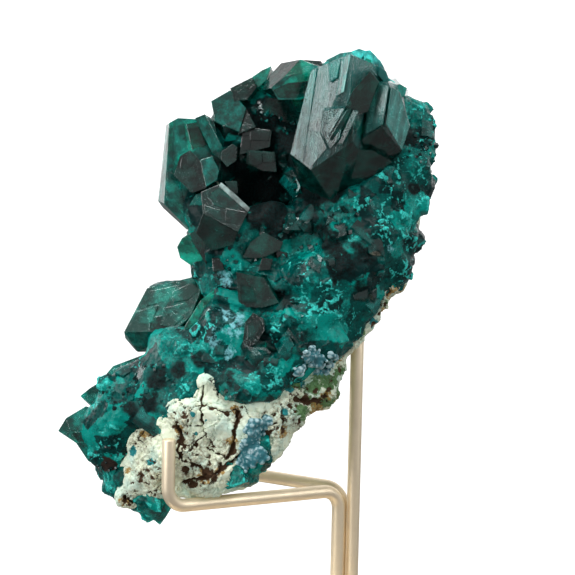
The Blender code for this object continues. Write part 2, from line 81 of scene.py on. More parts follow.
# Fixed start of the noise's own random shifts, so that each run gives the same shapes
NOISE_SEED = 11
CRYSTAL_IOR = 1.66

Colour = tuple[float, float, float]
Place = tuple[float, float, float]


# The display view

@dataclass(frozen=True)
class DisplayView:
    """The direction that the display side is seen from.

    Attributes:
        rod_thickness: real thickness of the stand's wire, in millimetres.
        rod_pixels: the same thickness in the picture.
        centre: middle of the picture, in pixels.
        centre_height: height of the point looked at, in millimetres.
        distance: millimetres from the eye to that point.
        tilt: angle of the eye above the horizon.
        roll: turn of the picture about its middle.
        sensor: width of the camera's sensor, in millimetres.
        sight: nearest and farthest distance that the camera shows, in metres.
    """

    rod_thickness: float = 2.0
    rod_pixels: float = 13.3
    centre: float = 287.5
    centre_height: float = 64.0
    distance: float = 450.0
    tilt: float = math.radians(10.0)
    roll: float = math.radians(1.2)
    sensor: float = 36.0
    sight: tuple[float, float] = (0.01, 20.0)

    @property
    def mm_per_pixel(self) -> float:
        """Return the size of a pixel at the middle of the specimen."""
        return self.rod_thickness / self.rod_pixels

    def axes(self) -> tuple[Vector, Vector, Vector]:
        """Give the picture's directions.

        Returns:
            The directions to the right, up and inward.
        """
        level = Vector((1.0, 0.0, 0.0))
        rise = Vector((0.0, math.sin(self.tilt), math.cos(self.tilt)))
        inward = Vector((0.0, math.cos(self.tilt), -math.sin(self.tilt)))
        right = level * math.cos(self.roll) + rise * math.sin(self.roll)
        up = rise * math.cos(self.roll) - level * math.sin(self.roll)
        return right, up, inward

    def point(self, across: float, down: float, back: float) -> Vector:
        """Return the point of the object that shows at a pixel.

        Args:
            across: pixels from the picture's left edge.
            down: pixels from its top edge.
            back: millimetres behind the plane through the view's centre.

        Returns:
            The point, in metres.
        """
        right, up, inward = self.axes()
        scale = self.mm_per_pixel * (1.0 + back / self.distance)
        offset = right * (across - self.centre) * scale + up * (self.centre - down) * scale
        return (Vector((0.0, 0.0, self.centre_height)) + offset + inward * back) * MM

    def pixels(self, places: np.ndarray) -> np.ndarray:
        """Return where points show in the picture.

        Args:
            places: one row of x, y, z per point, in metres.

        Returns:
            One row per point: pixels across, pixels down, millimetres back.
        """
        right, up, inward = (np.array(axis) for axis in self.axes())
        offset = places / MM - np.array((0.0, 0.0, self.centre_height))
        back = offset @ inward
        scale = self.mm_per_pixel * (1.0 + back / self.distance)
        across = self.centre + (offset @ right) / scale
        down = self.centre - (offset @ up) / scale
        return np.stack((across, down, back), 1)

    def toward(self) -> Vector:
        """Return the direction from the object to the eye."""
        return -self.axes()[2]

    def add_camera(self) -> Object:
        """Add the camera that sees the object as the picture does.

        Returns:
            The camera's object.
        """
        right, up, inward = self.axes()
        bpy.ops.object.camera_add()
        camera = bpy.context.object
        camera.name = "display_camera"
        camera.data.sensor_width = self.sensor
        camera.data.lens = self.sensor * self.distance / self.mm_per_pixel / (2.0 * self.centre)
        camera.data.clip_start, camera.data.clip_end = self.sight
        eye = Vector((0.0, 0.0, self.centre_height)) * MM - inward * self.distance * MM
        turn = Matrix((right, up, -inward)).transposed().to_4x4()
        camera.matrix_world = Matrix.Translation(eye) @ turn
        bpy.context.scene.camera = camera
        return camera


VIEW = DisplayView()


# Modelling moves

class Bench:
    """Modelling moves that the pieces share."""

    @staticmethod
    def clear_selection() -> None:
        """Leave edit mode and deselect everything."""
        if bpy.context.object and bpy.context.object.mode != "OBJECT":
            bpy.ops.object.mode_set(mode="OBJECT")
        bpy.ops.object.select_all(action="DESELECT")

    @staticmethod
    def pick(obj: Object) -> None:
        """Make an object the only one selected, and the active one.

        Args:
            obj: the object.
        """
        Bench.clear_selection()
        obj.select_set(True)
        bpy.context.view_layer.objects.active = obj

    @staticmethod
    def modify(obj: Object, kind: str, **settings: object) -> None:
        """Add a modifier to an object and apply it.

        Args:
            obj: the object.
            kind: the modifier's type.
            **settings: values of the modifier.
        """
        Bench.pick(obj)
        modifier = obj.modifiers.new(kind.lower(), kind)
        for name, value in settings.items():
            setattr(modifier, name, value)
        bpy.ops.object.modifier_apply(modifier=modifier.name)

    @staticmethod
    def ease_edges(obj: Object, width: float, segments: int, degrees: float) -> None:
        """Round the edges that are sharper than an angle, over a width in metres."""
        Bench.modify(obj, "BEVEL", width=width, segments=segments, limit_method="ANGLE",
                     angle_limit=math.radians(degrees))

    @staticmethod
    def settle(obj: Object, name: str) -> Object:
        """Name an object and move its place into its mesh.

        Args:
            obj: the object.
            name: its new name.

        Returns:
            The same object.
        """
        Bench.pick(obj)
        bpy.ops.object.transform_apply(location=True, rotation=True, scale=True)
        obj.name = name
        obj.data.name = name
        return obj

    @staticmethod
    def join(parts: list[Object], name: str) -> Object:
        """Join several objects into one.

        Args:
            parts: the objects, of which the first takes in the others.
            name: name of the result.

        Returns:
            The joined object.
        """
        Bench.clear_selection()
        bpy.context.view_layer.objects.active = parts[0]
        for part in parts:
            part.select_set(True)
        if len(parts) > 1:
            bpy.ops.object.join()
        return Bench.settle(parts[0], name)

    @staticmethod
    def hull(name: str, corners: list[Vector]) -> Object:
        """Model the flat faced solid around some corners.

        Args:
            name: name of the object.
            corners: the corner points, in metres.

        Returns:
            The solid.
        """
        Bench.clear_selection()
        bpy.ops.mesh.primitive_circle_add(vertices=max(3, len(corners)), radius=MM, fill_type="NOTHING")
        obj = bpy.context.object
        bpy.ops.object.mode_set(mode="EDIT")
        build = bmesh.from_edit_mesh(obj.data)
        for vertex, corner in zip(build.verts, corners):
            vertex.co = corner
        bmesh.update_edit_mesh(obj.data)
        bpy.ops.mesh.select_all(action="SELECT")
        bpy.ops.mesh.convex_hull()
        bpy.ops.mesh.dissolve_limited(angle_limit=math.radians(1.0))
        bpy.ops.mesh.select_all(action="SELECT")
        bpy.ops.mesh.normals_make_consistent(inside=False)
        bpy.ops.object.mode_set(mode="OBJECT")
        return Bench.settle(obj, name)

    @staticmethod
    def rows(items: object, key: str) -> np.ndarray:
        """Read a vector of each item of a mesh.

        Args:
            items: the mesh's vertices, normals or faces.
            key: name of the vector.

        Returns:
            One row of three numbers per item.
        """
        flat = np.empty(len(items) * 3, np.float32)
        items.foreach_get(key, flat)
        return flat.reshape(-1, 3).astype(float)

    @staticmethod
    def places(obj: Object) -> np.ndarray:
        """Return an object's vertices, one row each, in metres."""
        return Bench.rows(obj.data.vertices, "co")

    @staticmethod
    def normals(obj: Object) -> np.ndarray:
        """Return an object's vertex normals, one row each."""
        return Bench.rows(obj.data.vertex_normals, "vector")

    @staticmethod
    def move_to(obj: Object, places: np.ndarray) -> None:
        """Put an object's vertices at new places."""
        obj.data.vertices.foreach_set("co", places.astype(np.float32).ravel())
        obj.data.update()

    @staticmethod
    def paint(obj: Object, name: str, values: np.ndarray) -> None:
        """Store a mask for the materials.

        Args:
            obj: the object.
            name: name of the attribute.
            values: one number per vertex, which is clipped to 0 to 1.
        """
        layer = obj.data.attributes.new(name, "FLOAT", "POINT")
        layer.data.foreach_set("value", np.clip(values, 0.0, 1.0).astype(np.float32))

    @staticmethod
    def lay_coordinates(obj: Object, grain: Vector, shift: float = 0.0) -> None:
        """Give each face coordinates in millimetres, across and along the grain.

        Args:
            obj: the object.
            grain: direction of its growth lines.
            shift: distance that gives another part of the pattern.
        """
        layer = obj.data.uv_layers.new(name="face")
        for polygon in obj.data.polygons:
            along = grain - polygon.normal * grain.dot(polygon.normal)
            if along.length < 0.2:
                along = polygon.normal.orthogonal()
            along.normalize()
            across = along.cross(polygon.normal)
            for loop in polygon.loop_indices:
                place = obj.data.vertices[obj.data.loops[loop].vertex_index].co
                layer.data[loop].uv = (place.dot(across) / MM + shift, place.dot(along) / MM)

    @staticmethod
    def curvature(obj: Object, rounds: int) -> np.ndarray:
        """Return how far each vertex stands out from its surroundings.

        Args:
            obj: the object, whose mesh is even.
            rounds: how many rings of neighbours the surroundings take in.

        Returns:
            One value per vertex, in units of the edge length: above 0 on ridges and
            below 0 in crevices.
        """
        places = Bench.places(obj)
        pairs = np.empty(len(obj.data.edges) * 2, np.int32)
        obj.data.edges.foreach_get("vertices", pairs)
        pairs = pairs.reshape(-1, 2)
        count = np.bincount(pairs.ravel(), minlength=len(places)).astype(float)
        length = np.linalg.norm(places[pairs[:, 0]] - places[pairs[:, 1]], axis=1).mean()
        soft = places.copy()
        for _ in range(rounds):
            total = np.zeros_like(soft)
            for axis in range(3):
                total[:, axis] = np.bincount(pairs[:, 0], soft[pairs[:, 1], axis], len(places))
                total[:, axis] += np.bincount(pairs[:, 1], soft[pairs[:, 0], axis], len(places))
            soft = total / np.maximum(count, 1.0)[:, None]
        return ((places - soft) * Bench.normals(obj)).sum(axis=1) / length

    @staticmethod
    def flat_faces(obj: Object) -> None:
        """Shade each face of an object flat."""
        Bench.pick(obj)
        bpy.ops.object.shade_flat()

    @staticmethod
    def sharp_by_angle(obj: Object, degrees: float) -> None:
        """Shade an object smooth, apart from its sharp edges."""
        Bench.pick(obj)
        bpy.ops.object.shade_smooth_by_angle(angle=math.radians(degrees))


class Field:
    """Smooth random values over space and over the picture."""

    @staticmethod
    def fractal(places: np.ndarray, size: float, octaves: int, seed: float = 0.0) -> np.ndarray:
        """Return fractal noise at some points.

        Args:
            places: one row of x, y, z per point, in metres.
            size: size of the largest lumps, in millimetres.
            octaves: number of finer layers.
            seed: shift that gives another pattern.

        Returns:
            One value per point, about -1 to 1.
        """
        scaled = places / (size * MM) + seed
        return np.array([noise.fractal(Vector(row), 0.8, 2.0, octaves) for row in scaled])

    @staticmethod
    def facets(places: np.ndarray, size: float, seed: float) -> tuple[np.ndarray, np.ndarray]:
        """Return angular crystal-like relief at some points.

        Args:
            places: one row of x, y, z per point, in metres.
            size: size of a facet, in millimetres.
            seed: shift that gives another pattern.

        Returns:
            The height, about -1 to 1, and how near each point is to a facet's
            border, 0 to 1.
        """
        slant, lift, sharpness = 2.2, 0.5, 3.0
        scaled = places / (size * MM) + seed
        height = np.empty(len(scaled))
        border = np.empty(len(scaled))
        for index, row in enumerate(scaled):
            point = Vector(row)
            gaps, cells = noise.voronoi(point)
            cell = cells[0]
            tilt = noise.noise_vector(cell * 7.31 + Vector((1.7, 4.1, 9.2)))
            height[index] = tilt.dot(point - cell) * slant + tilt.x * lift
            border[index] = 1.0 - min(1.0, (gaps[1] - gaps[0]) * sharpness)
        return height, border

    @staticmethod
    def near_line(across: np.ndarray, down: np.ndarray, route: tuple) -> np.ndarray:
        """Measure the distance to a bent line in the picture.

        Args:
            across: pixels across of each point.
            down: pixels down of each point.
            route: corners of the line, in pixels.

        Returns:
            One distance per point, in pixels.
        """
        nearest = np.full(len(across), np.inf)
        for (ax, ay), (bx, by) in zip(route, route[1:]):
            run = np.array((bx - ax, by - ay), float)
            length = float(run @ run) or 1.0
            step = ((across - ax) * run[0] + (down - ay) * run[1]) / length
            step = np.clip(step, 0.0, 1.0)
            gap = np.hypot(across - ax - step * run[0], down - ay - step * run[1])
            nearest = np.minimum(nearest, gap)
        return nearest

    @staticmethod
    def within(shown: np.ndarray, spots: tuple, share: float = 1.0) -> np.ndarray:
        """Find the points that lie in any of some round spots.

        Args:
            shown: picture place of each point.
            spots: middle and radius of each spot, in pixels.
            share: size of the spots beside their radius.

        Returns:
            One truth value per point.
        """
        inside = np.zeros(len(shown), bool)
        for across, down, radius in spots:
            inside |= np.hypot(shown[:, 0] - across, shown[:, 1] - down) < radius * share
        return inside

    @staticmethod
    def ease(value: np.ndarray, low: float, high: float) -> np.ndarray:
        """Return a soft step from 0 at low to 1 at high."""
        step = np.clip((value - low) / (high - low), 0.0, 1.0)
        return step * step * (3.0 - 2.0 * step)


# Shader building

class Nodes:
    """Shorthand for building a node tree."""

    def __init__(self, tree: NodeTree) -> None:
        """Start on an empty tree."""
        self.tree = tree

    def add(self, kind: str, **settings: object) -> Node:
        """Add a node.

        Args:
            kind: the node's type, without its Shader Node prefix.
            **settings: attributes of the node.

        Returns:
            The node.
        """
        node = self.tree.nodes.new("ShaderNode" + kind)
        for name, value in settings.items():
            setattr(node, name, value)
        return node

    def put(self, target: NodeSocket, value: object) -> None:
        """Link a socket to another one, or set its plain value.

        Args:
            target: the input socket.
            value: an output socket, a number, a vector or a colour.
        """
        if isinstance(value, NodeSocket):
            self.tree.links.new(value, target)
        else:
            target.default_value = value

    def feed(self, node: Node, **inputs: object) -> Node:
        """Fill a node's inputs from sockets or plain values.

        Args:
            node: the node.
            **inputs: socket names, with underscores for spaces.

        Returns:
            The node.
        """
        for name, value in inputs.items():
            self.put(node.inputs[name.replace("_", " ")], value)
        return node

    def math(self, operation: str, first: object, second: object = 0.0) -> NodeSocket:
        """Calculate with sockets or plain numbers.

        Args:
            operation: the Math node's operation.
            first: a socket or a number.
            second: a socket or a number.

        Returns:
            The result's socket.
        """
        node = self.add("Math", operation=operation)
        for socket, value in zip(node.inputs, (first, second)):
            self.put(socket, value)
        return node.outputs[0]

    def plus(self, first: object, second: object, weight: float = 1.0) -> NodeSocket:
        """Return the first value plus a share of the second."""
        return self.math("ADD", first, self.math("MULTIPLY", second, weight))

    def ragged(self, mask: object, grit: NodeSocket, middle: float, weight: float) -> NodeSocket:
        """Return a mask whose edge a noise, centred on its middle value, makes ragged."""
        return self.plus(mask, self.math("SUBTRACT", grit, middle), weight)

    def noise(self, vector: object, scale: object, detail: float = 3.0, rough: float = 0.5) -> NodeSocket:
        """Return a noise value over a vector socket."""
        return self.feed(self.add("TexNoise"), Vector=vector, Scale=scale, Detail=detail,
                         Roughness=rough).outputs["Fac"]

    def step(self, value: object, low: float, high: float) -> NodeSocket:
        """Return a soft step of a socket from 0 at low to 1 at high."""
        node = self.add("MapRange", interpolation_type="SMOOTHSTEP")
        return self.feed(node, Value=value, From_Min=low, From_Max=high).outputs["Result"]

    def blend(self, factor: object, first: object, second: object) -> NodeSocket:
        """Mix two colours.

        Args:
            factor: share of the second colour.
            first: a colour or a colour's socket.
            second: a colour or a colour's socket.

        Returns:
            The mixed colour's socket.
        """
        node = self.add("Mix", data_type="RGBA")
        for index, value in ((0, factor), (6, first), (7, second)):
            self.put(node.inputs[index], (*value, 1.0) if isinstance(value, tuple) else value)
        return node.outputs[2]

    def bump(self, height: object, distance: float, strength: float = 1.0) -> NodeSocket:
        """Return the normal of a relief, whose distance is in metres."""
        return self.feed(self.add("Bump"), Height=height, Distance=distance, Strength=strength).outputs[0]

    def attribute(self, name: str) -> NodeSocket:
        """Return a value stored on the mesh."""
        return self.add("Attribute", attribute_name=name).outputs["Fac"]

    def group(self, tree: NodeTree, **inputs: object) -> Node:
        """Add a node group with its values filled in."""
        return self.feed(self.add("Group", node_tree=tree), **inputs)


def new_group(name: str, inputs: dict[str, float], outputs: tuple[str, ...]) -> tuple[Nodes, Node, Node]:
    """Start a shader node group.

    Args:
        name: name of the group.
        inputs: names and starting values of its number inputs; "Vector" is a vector.
        outputs: names of its outputs; one that ends in "Normal" is a vector.

    Returns:
        The builder, the group's input node and its output node.
    """
    tree = bpy.data.node_groups.new(name, "ShaderNodeTree")
    for label, value in inputs.items():
        kind = "NodeSocketVector" if label == "Vector" else "NodeSocketFloat"
        socket = tree.interface.new_socket(label, in_out="INPUT", socket_type=kind)
        if label != "Vector":
            socket.default_value = value
    for label in outputs:
        kind = "NodeSocketVector" if label.endswith("Normal") else "NodeSocketFloat"
        tree.interface.new_socket(label, in_out="OUTPUT", socket_type=kind)
    nodes = Nodes(tree)
    return nodes, tree.nodes.new("NodeGroupInput"), tree.nodes.new("NodeGroupOutput")


class Effects:
    """Shader node groups that several finishes share."""

    @staticmethod
    def growth() -> NodeTree:
        """Return the growth lines and steps, built on first use."""
        return bpy.data.node_groups.get("growth_relief") or Effects.build_growth()

    @staticmethod
    def speckle() -> NodeTree:
        """Return the scattered grains, built on first use."""
        return bpy.data.node_groups.get("grain_speckle") or Effects.build_speckle()

    @staticmethod
    def build_growth() -> NodeTree:
        """Build the growth lines and steps of a crystal face.

        Returns:
            A group that turns face coordinates into a height and a step mask.
        """
        starts = {
            "Vector": 0.0, "Line Scale": 4.0, "Step Scale": 0.5, "Line Weight": 0.4, "Step Weight": 0.6}
        terraces = 14.0
        nodes, start, end = new_group("growth_relief", starts, ("Height", "Steps"))
        given = start.outputs
        stretch = nodes.feed(nodes.add("Mapping"), Vector=given["Vector"], Scale=(1.0, 0.08, 1.0))
        lines = nodes.noise(stretch.outputs[0], given["Line Scale"], 4.0, 0.65)
        plates = nodes.noise(given["Vector"], given["Step Scale"], 2.5, 0.6)
        levels = nodes.math("MULTIPLY", plates, terraces)
        floor = nodes.math("FLOOR", levels)
        rest = nodes.math("SUBTRACT", levels, floor)
        terrace = nodes.math("DIVIDE", nodes.math("ADD", floor, nodes.step(rest, 0.0, 0.16)), terraces)
        weighted = nodes.math("MULTIPLY", terrace, given["Step Weight"])
        drawn = nodes.math("MULTIPLY", lines, given["Line Weight"])
        nodes.feed(end, Height=nodes.math("ADD", weighted, drawn), Steps=nodes.step(rest, 0.10, 0.0))
        return nodes.tree

    @staticmethod
    def build_speckle() -> NodeTree:
        """Build scattered small grains.

        Returns:
            A group that turns coordinates into a mask of grains.
        """
        starts = {"Vector": 0.0, "Scale": 2.0, "Amount": 0.5}
        nodes, start, end = new_group("grain_speckle", starts, ("Mask",))
        fine = nodes.noise(start.outputs["Vector"], start.outputs["Scale"], 5.0, 0.7)
        edge = nodes.plus(0.78, start.outputs["Amount"], -0.3)
        nodes.feed(end, Mask=nodes.step(nodes.math("SUBTRACT", fine, edge), 0.0, 0.05))
        return nodes.tree


def dimmed(colour: Colour, share: float) -> Colour:
    """Return a share of a colour."""
    return tuple(share * part for part in colour)


@dataclass(frozen=True)
class Finish:
    """A material that is made on first use.

    Attributes:
        name: name of the material.
    """

    name: str

    def material(self) -> Material:
        """Give the material, building it when it isn't there yet.

        Returns:
            The material.
        """
        found = bpy.data.materials.get(self.name)
        if found:
            return found
        made = bpy.data.materials.new(self.name)
        made.use_nodes = True
        nodes = Nodes(made.node_tree)
        self.dress(nodes, made.node_tree.nodes["Principled BSDF"])
        return made

    def dress(self, nodes: Nodes, shader: Node) -> None:
        """Build the material's nodes with the shader that the material holds."""
        raise NotImplementedError


@dataclass(frozen=True)
class CrystalFinish(Finish):
    """Clear green crystal.

    Attributes:
        tint: colour of the light that comes out of cracks inside it.
        clear: share of light that passes through.
        rough: roughness of its faces.
        density: how fast it swallows light, per metre.
        absorb: colour of the light that it lets through.
        lines: weight of the growth lines.
        steps: weight of the growth steps.
        veil: colour of the worn step edges.
        veil_weight: how much of that colour shows.
        relief: distance of the relief, in metres.
        shine: strength of its mirror-like reflection.
        painted_top_glow: painted light, a brighter colour near the specimen's top where the light falls on
            it, where that differs.
        painted_top_glow_heights: where that painted light starts and where it is full, in metres.
        striated_from: weight of the growth lines from which the tint is streaked too.
    """

    tint: Colour = (0.0, 0.45, 0.36)
    clear: float = 0.90
    rough: float = 0.05
    density: float = 900.0
    absorb: Colour = (0.01, 0.72, 0.64)
    lines: float = 0.03
    steps: float = 0.5
    veil: Colour = (0.06, 0.30, 0.27)
    veil_weight: float = 0.35
    relief: float = 0.00012
    shine: float = 0.36
    painted_top_glow: Colour | None = None
    painted_top_glow_heights: tuple[float, float] = (0.094, 0.106)
    striated_from: float = 0.1

    def dress(self, nodes: Nodes, shader: Node) -> None:
        """Build the crystal's surface and its depth colour.

        Args:
            nodes: builder of the material's node tree.
            shader: the material's own shader.
        """
        coordinates = nodes.add("UVMap", uv_map="face").outputs["UV"]
        growth = nodes.group(
            Effects.growth(), Vector=coordinates, Line_Weight=self.lines, Step_Weight=self.steps)
        place = nodes.add("TexCoord").outputs["Object"]
        cloud = nodes.noise(place, 420.0, 4.0, 0.6)
        if self.lines > self.striated_from:
            stretch = nodes.feed(nodes.add("Mapping"), Vector=coordinates, Scale=(0.9, 0.05, 1.0))
            streaks = nodes.noise(stretch.outputs[0], 1.0, 5.0, 0.65)
            cloud = nodes.plus(nodes.math("MULTIPLY", cloud, 0.35), streaks, 0.65)
        marks = nodes.math("MULTIPLY", growth.outputs["Steps"], nodes.step(cloud, 0.45, 0.7))
        veil = nodes.math("MULTIPLY", marks, self.veil_weight)
        deep = nodes.blend(nodes.step(cloud, 0.40, 0.66), dimmed(self.tint, 0.2), self.tint)
        # Painted light: towards the specimen's top the colour turns a brighter turquoise.
        if self.painted_top_glow:
            height = nodes.feed(nodes.add("SeparateXYZ"), Vector=place).outputs["Z"]
            raised = nodes.plus(height, cloud, 0.012)
            deep = nodes.blend(nodes.step(raised, *self.painted_top_glow_heights), deep, self.painted_top_glow)
        nodes.feed(
            shader, Base_Color=nodes.blend(veil, deep, self.veil),
            Roughness=nodes.plus(self.rough, veil, 0.4),
            Normal=nodes.bump(growth.outputs["Height"], self.relief), IOR=CRYSTAL_IOR,
            Specular_IOR_Level=self.shine, Transmission_Weight=self.clear)
        depth = nodes.feed(nodes.add("VolumeAbsorption"), Color=(*self.absorb, 1.0), Density=self.density)
        nodes.feed(nodes.tree.nodes["Material Output"], Volume=depth.outputs[0])


@dataclass(frozen=True)
class CrustFinish(Finish):
    """Massive dioptase with frosted turquoise rims, partly painted light along its ridges.

    Attributes:
        deep: colour of its darkest parts.
        body: its usual colour.
        light: colour of its brighter blocks.
        frost_and_rim_light: colour of the rims, partly painted light along ridges and seams.
        pale: colour of the milky patches.
        rust: colour of the brown parts.
        rough: roughness where it is smoothest.
        relief: distance of the fine relief, in metres.
    """

    deep: Colour = (0.0, 0.018, 0.018)
    body: Colour = (0.0, 0.080, 0.070)
    light: Colour = (0.0, 0.27, 0.225)
    frost_and_rim_light: Colour = (0.05, 0.68, 0.60)
    pale: Colour = (0.22, 0.58, 0.64)
    rust: Colour = (0.03, 0.02, 0.016)
    rough: float = 0.22
    relief: float = 0.00012

    def dress(self, nodes: Nodes, shader: Node) -> None:
        """Build the crust's colours from its stored masks and fine noise.

        Args:
            nodes: builder of the material's node tree.
            shader: the material's own shader.
        """
        place = nodes.add("TexCoord").outputs["Object"]
        broad = nodes.noise(place, 420.0, 6.0, 0.65)
        fine = nodes.noise(place, 1500.0, 5.0, 0.7)
        tiny = nodes.noise(place, 3600.0, 4.0, 0.7)
        tone = nodes.plus(nodes.math("MULTIPLY", nodes.attribute("tone"), 0.55), broad, 0.6)
        tone = nodes.ragged(tone, nodes.math("ADD", fine, tiny), 1.0, 0.45)
        base = nodes.blend(nodes.step(tone, 0.30, 0.62), self.deep, self.body)
        base = nodes.blend(nodes.step(tone, 0.58, 0.85), base, self.light)
        # Painted shade: where the shade mask is high, the colour falls towards near black.
        shaded = nodes.step(nodes.ragged(nodes.attribute("shade"), fine, 0.5, 0.9), 0.22, 0.80)
        darkest = nodes.blend(nodes.step(tiny, 0.42, 0.66), dimmed(self.deep, 0.12), self.deep)
        base = nodes.blend(shaded, base, darkest)
        # Bright turquoise rims: frosted patches and painted light along ridges and seams.
        frosted = nodes.ragged(nodes.attribute("frost_and_rim_light"), fine, 0.5, 1.3)
        grainy = nodes.blend(nodes.step(tiny, 0.36, 0.62), dimmed(self.frost_and_rim_light, 0.35), self.frost_and_rim_light)
        base = nodes.blend(nodes.step(frosted, 0.30, 0.85), base, grainy)
        milky = nodes.ragged(nodes.attribute("milk"), fine, 0.55, 2.2)
        base = nodes.blend(nodes.step(milky, 0.35, 0.9), base, self.pale)
        rusty = nodes.ragged(nodes.attribute("rust"), fine, 0.55, 2.0)
        base = nodes.blend(nodes.step(rusty, 0.3, 0.6), base, self.rust)
        matt = nodes.math("MAXIMUM", nodes.step(frosted, 0.3, 0.8), nodes.attribute("shade"))
        nodes.feed(shader, Base_Color=base, Roughness=nodes.plus(self.rough, matt, 0.4),
                   Normal=nodes.bump(fine, self.relief, 0.8), IOR=1.45, Specular_IOR_Level=0.16)


@dataclass(frozen=True)
class MatrixFinish(Finish):
    """Pale cracked rock with brown hollows.

    Attributes:
        pale: the rock's usual colour.
        cool: colour of its greener parts.
        dust: colour of the crumbly parts' grains.
        brown: colour of cracks and cavities.
        ochre: colour of the rusty parts.
        teal: colour of the blue green stains.
        lilac: colour of the stains under the beads.
        moss: colour of the mossy parts.
        rough: the rock's roughness.
        relief: distance of the fine relief, in metres.
    """

    pale: Colour = (0.84, 0.92, 0.72)
    cool: Colour = (0.62, 0.82, 0.70)
    dust: Colour = (0.30, 0.24, 0.14)
    brown: Colour = (0.075, 0.035, 0.012)
    ochre: Colour = (0.40, 0.25, 0.07)
    teal: Colour = (0.01, 0.24, 0.25)
    lilac: Colour = (0.06, 0.26, 0.32)
    moss: Colour = (0.10, 0.22, 0.08)
    rough: float = 0.82
    relief: float = 0.00025

    def dress(self, nodes: Nodes, shader: Node) -> None:
        """Build the rock's colours from its stored masks and fine noise.

        Args:
            nodes: builder of the material's node tree.
            shader: the material's own shader.
        """
        place = nodes.add("TexCoord").outputs["Object"]
        broad = nodes.noise(place, 300.0, 4.0, 0.6)
        fine = nodes.noise(place, 2200.0, 6.0, 0.7)
        base = nodes.blend(nodes.step(broad, 0.42, 0.68), self.pale, self.cool)
        grains = nodes.group(Effects.speckle(), Vector=place, Scale=1800.0, Amount=0.5)
        dusty = nodes.math("MULTIPLY", nodes.attribute("grain"), nodes.step(fine, 0.42, 0.60))
        base = nodes.blend(nodes.math("MULTIPLY", dusty, 0.75), base, self.dust)
        base = nodes.blend(nodes.math("MULTIPLY", grains.outputs[0], 0.7), base, self.ochre)
        for name in ("teal", "lilac", "moss", "ochre", "brown"):
            stain = nodes.step(nodes.ragged(nodes.attribute(name), fine, 0.5, 1.5), 0.36, 0.62)
            base = nodes.blend(stain, base, getattr(self, name))
        nodes.feed(shader, Base_Color=base, Roughness=self.rough, Normal=nodes.bump(fine, self.relief, 0.8))


@dataclass(frozen=True)
class DrusyFinish(Finish):
    """Small bright grains and crystals that stand on the crust.

    Attributes:
        deep: colour of the darker grains.
        bright: colour of the brighter grains.
        relief: distance of the fine relief, in metres.
    """

    deep: Colour = (0.0, 0.02, 0.02)
    bright: Colour = (0.0, 0.17, 0.15)
    relief: float = 0.00008

    def dress(self, nodes: Nodes, shader: Node) -> None:
        """Build the grains' colour.

        Args:
            nodes: builder of the material's node tree.
            shader: the material's own shader.
        """
        place = nodes.add("TexCoord").outputs["Object"]
        broad = nodes.noise(place, 500.0, 3.0, 0.6)
        fine = nodes.noise(place, 2500.0, 3.0, 0.6)
        colour = nodes.blend(nodes.step(broad, 0.4, 0.66), self.deep, self.bright)
        nodes.feed(shader, Base_Color=colour, Roughness=0.24, Normal=nodes.bump(fine, self.relief, 0.6),
                   IOR=CRYSTAL_IOR, Specular_IOR_Level=0.25, Transmission_Weight=0.25)


@dataclass(frozen=True)
class WaxFinish(Finish):
    """Waxy blue-grey beads.

    Attributes:
        cloudy_and_lit: colour on the beads' tops: their clouded wax, with painted light.
        clear: colour between the beads: their clear wax, darkened with painted shade.
        relief: distance of the fine relief, in metres.
    """

    cloudy_and_lit: Colour = (0.42, 0.62, 0.66)
    clear: Colour = (0.02, 0.15, 0.18)
    relief: float = 0.00006

    def dress(self, nodes: Nodes, shader: Node) -> None:
        """Build the beads' colour.

        Args:
            nodes: builder of the material's node tree.
            shader: the material's own shader.
        """
        place = nodes.add("TexCoord").outputs["Object"]
        broad = nodes.noise(place, 700.0, 4.0, 0.6)
        # Pale tops and dark gaps follow the beads' curvature: the wax's cloudiness, with painted light on
        # top and painted shade between them.
        crest = nodes.ragged(nodes.attribute("crest"), broad, 0.55, 2.0)
        colour = nodes.blend(nodes.step(crest, 0.10, 0.80), self.clear, self.cloudy_and_lit)
        normal = nodes.bump(nodes.noise(place, 3000.0), self.relief, 0.6)
        nodes.feed(
            shader, Base_Color=colour, Roughness=0.28, Normal=normal, Coat_Weight=0.3, Coat_Roughness=0.15)


@dataclass(frozen=True)
class MetalFinish(Finish):
    """Satin warm metal of the stand.

    Attributes:
        colour: the metal's colour.
        rough: roughness of its cleanest parts.
        relief: distance of the drawn grain, in metres.
    """

    colour: Colour = (0.98, 0.84, 0.62)
    rough: float = 0.45
    relief: float = 0.00002

    def dress(self, nodes: Nodes, shader: Node) -> None:
        """Build the metal's drawn grain and faint smudges.

        Args:
            nodes: builder of the material's node tree.
            shader: the material's own shader.
        """
        place = nodes.add("TexCoord").outputs["Object"]
        cloud = nodes.noise(place, 180.0, 4.0, 0.6)
        grain = nodes.noise(place, 6000.0, 2.0, 0.5)
        shade = nodes.blend(nodes.step(cloud, 0.3, 0.75), self.colour, dimmed(self.colour, 0.88))
        rough = nodes.plus(self.rough, nodes.step(cloud, 0.35, 0.7), 0.08)
        normal = nodes.bump(grain, self.relief, 0.5)
        nodes.feed(shader, Base_Color=shade, Roughness=rough, Normal=normal, Metallic=0.8)


